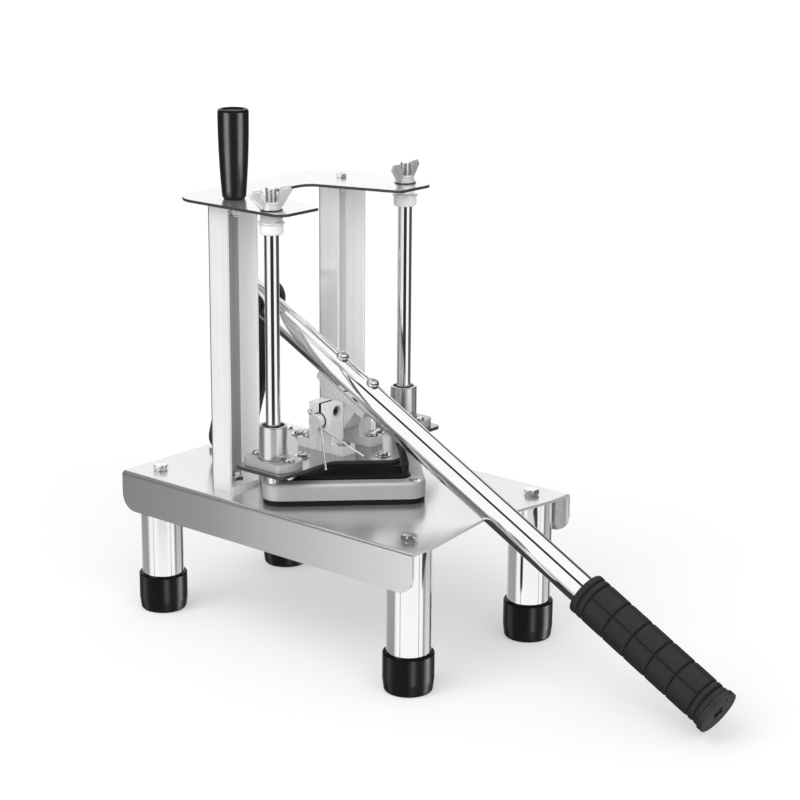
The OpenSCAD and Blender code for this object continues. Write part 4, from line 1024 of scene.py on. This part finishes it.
def card(level, az, el, value, soft=4, first=None):
    """A soft-edged card of the studio, by azimuth and elevation in degrees. Its first
    edge in azimuth may have a softness of its own."""
    inside = None
    for angle, limits in ((around if az and az[0] < 0 else azimuth, az), (rise, el)):
        if not limits:
            continue
        low, high = limits
        near = first if first and limits is az else soft
        for mask in (step(angle, low - near, low + near),
                     op("SUBTRACT", 1, step(angle, high - soft, high + soft))):
            inside = mask if inside is None else op("MULTIPLY", inside, mask)
    return op("ADD", op("MULTIPLY", level, op("SUBTRACT", 1, inside)),
              op("MULTIPLY", inside, value))


# What polished metal mirrors: a dark room with white cards. Each card or gap is what one
# kind of surface shows in the photograph. A later card covers the earlier ones.
# Azimuth, elevation, level, softness and the first edge's softness.
CARDS = (
    ((144, 296), (-95, -16.5), 1.0, 4, 15),
    ((297, 313), (-95, -18.3), 0.4, 4),
    ((310, 350), (-95, -18), 0.72, 5),
    ((60, 136), (-23.5, -17), 0.36, 3),
    ((144, 294), (-18.5, -1), 1.0, 2.5, 14),
    ((202, 252), (-17.6, -1), 0.03, 1.8),
    ((173.5, 177.5), (-50, -18.5), 0.35, 1),
    ((270, 274), (-50, -18.5), 0.35, 1),
    ((40, 140), (-65, -28), 0.05, 4),
    ((12, 78), (-30, -6), 0.6, 6),
    ((20, 90), (-2, 35), 1.05, 4),
    (None, (49, 95), 1.0, 3),
    ((160, 212), (52, 67), 0.02, 2.5),
    ((-30, 34), (36, 60), 1.0, 4),
    ((146, 184), (-8, 53), 1.0, 2.5),
)
level = op("ADD", 0.07, op("MULTIPLY", step(rise, -20, -60), 0.2))
for given in CARDS:
    level = card(level, *given)
glossy = new_node(nt, "Background", Color=WHITE)
plain = new_node(nt, "Background", Color=WHITE, Strength=0.55)
white = new_node(nt, "Background", Color=WHITE, Strength=1)
path = new_node(nt, "LightPath")
mix_glossy = new_node(nt, "MixShader")
mix_camera = new_node(nt, "MixShader")
out = new_node(nt, "OutputWorld")
for source, target in ((level, glossy.inputs["Strength"]),
                       (path.outputs["Is Glossy Ray"], mix_glossy.inputs[0]),
                       (plain.outputs[0], mix_glossy.inputs[1]),
                       (glossy.outputs[0], mix_glossy.inputs[2]),
                       (path.outputs["Is Camera Ray"], mix_camera.inputs[0]),
                       (mix_glossy.outputs[0], mix_camera.inputs[1]),
                       (white.outputs[0], mix_camera.inputs[2]),
                       (mix_camera.outputs[0], out.inputs["Surface"])):
    link(source, target)


# ---------------------------------------------------------------- lamps
def lamp(name, place, strength, angle, receivers=None):
    """A soft, even light from a direction, for all or for some pieces only."""
    data = bpy.data.lights.new(name, "SUN")
    data.energy = strength
    data.angle = math.radians(angle)
    obj = bpy.data.objects.new(name, data)
    scene.collection.objects.link(obj)
    obj.location = place
    obj.rotation_mode = "QUATERNION"
    obj.rotation_quaternion = (-Vector(place)).to_track_quat("-Z", "Y")
    obj.visible_glossy = receivers is not None
    if receivers:
        only = bpy.data.collections.new(name + "_only")
        for piece in receivers:
            only.objects.link(piece)
        obj.light_linking.receiver_collection = only
        obj.light_linking.blocker_collection = only


def pieces_named(*names):
    return [bpy.data.objects[name] for name in names]


lamp("key", (-1.5, 0.15, 1.4), 1.25, 50)
lamp("fill", (-0.7, -1.3, 0.9), 1.0, 50)
lamp("columns", (-0.75, -1.3, 0.3), 1.3, 50, pieces_named("column_left_look",
                                                         "column_right_look"))
feet = pieces_named(*("foot_" + where + "_rubber" for where in corners))
handle = pieces_named("hand_grip_gloss")
for name, az, el, strength, wide, pieces in (
        ("feet_left", 126, -22, 0.6, 30, feet), ("feet_middle", 241, -22, 1.4, 18, feet),
        ("feet_right", 313, -22, 2.8, 24, feet), ("grip_left", 173, -12, 8.0, 34, handle),
        ("grip_right", 279, -12, 8.0, 34, handle)):
    a, e = math.radians(az), math.radians(el)
    lamp(name, (math.cos(a) * math.cos(e), math.sin(a) * math.cos(e), math.sin(e)),
         strength, wide, pieces)

# ---------------------------------------------------------------- camera
# A pinhole camera fitted to points of the photograph, in metres and in its pixels.
PHOTO, SENSOR = 800, 36
FOCAL, CENTRE_X, CENTRE_Y = 2231.9, 342.59, 446.21
CAMERA_AT, CAMERA_AIM = (-1.1152, -0.9954, 0.5802), (0, -0.002, 0.130)
cam_data = bpy.data.cameras.new("camera")
cam = bpy.data.objects.new("camera", cam_data)
scene.collection.objects.link(cam)
cam.location = CAMERA_AT
cam.rotation_mode = "QUATERNION"
cam.rotation_quaternion = (Vector(CAMERA_AIM) - cam.location).to_track_quat("-Z", "Y")
cam_data.sensor_width = SENSOR
cam_data.lens = FOCAL / PHOTO * SENSOR
cam_data.shift_x = (PHOTO / 2 - CENTRE_X) / PHOTO
cam_data.shift_y = (CENTRE_Y - PHOTO / 2) / PHOTO
scene.camera = cam
scene.view_settings.view_transform = "Standard"

bpy.context.view_layer.update()
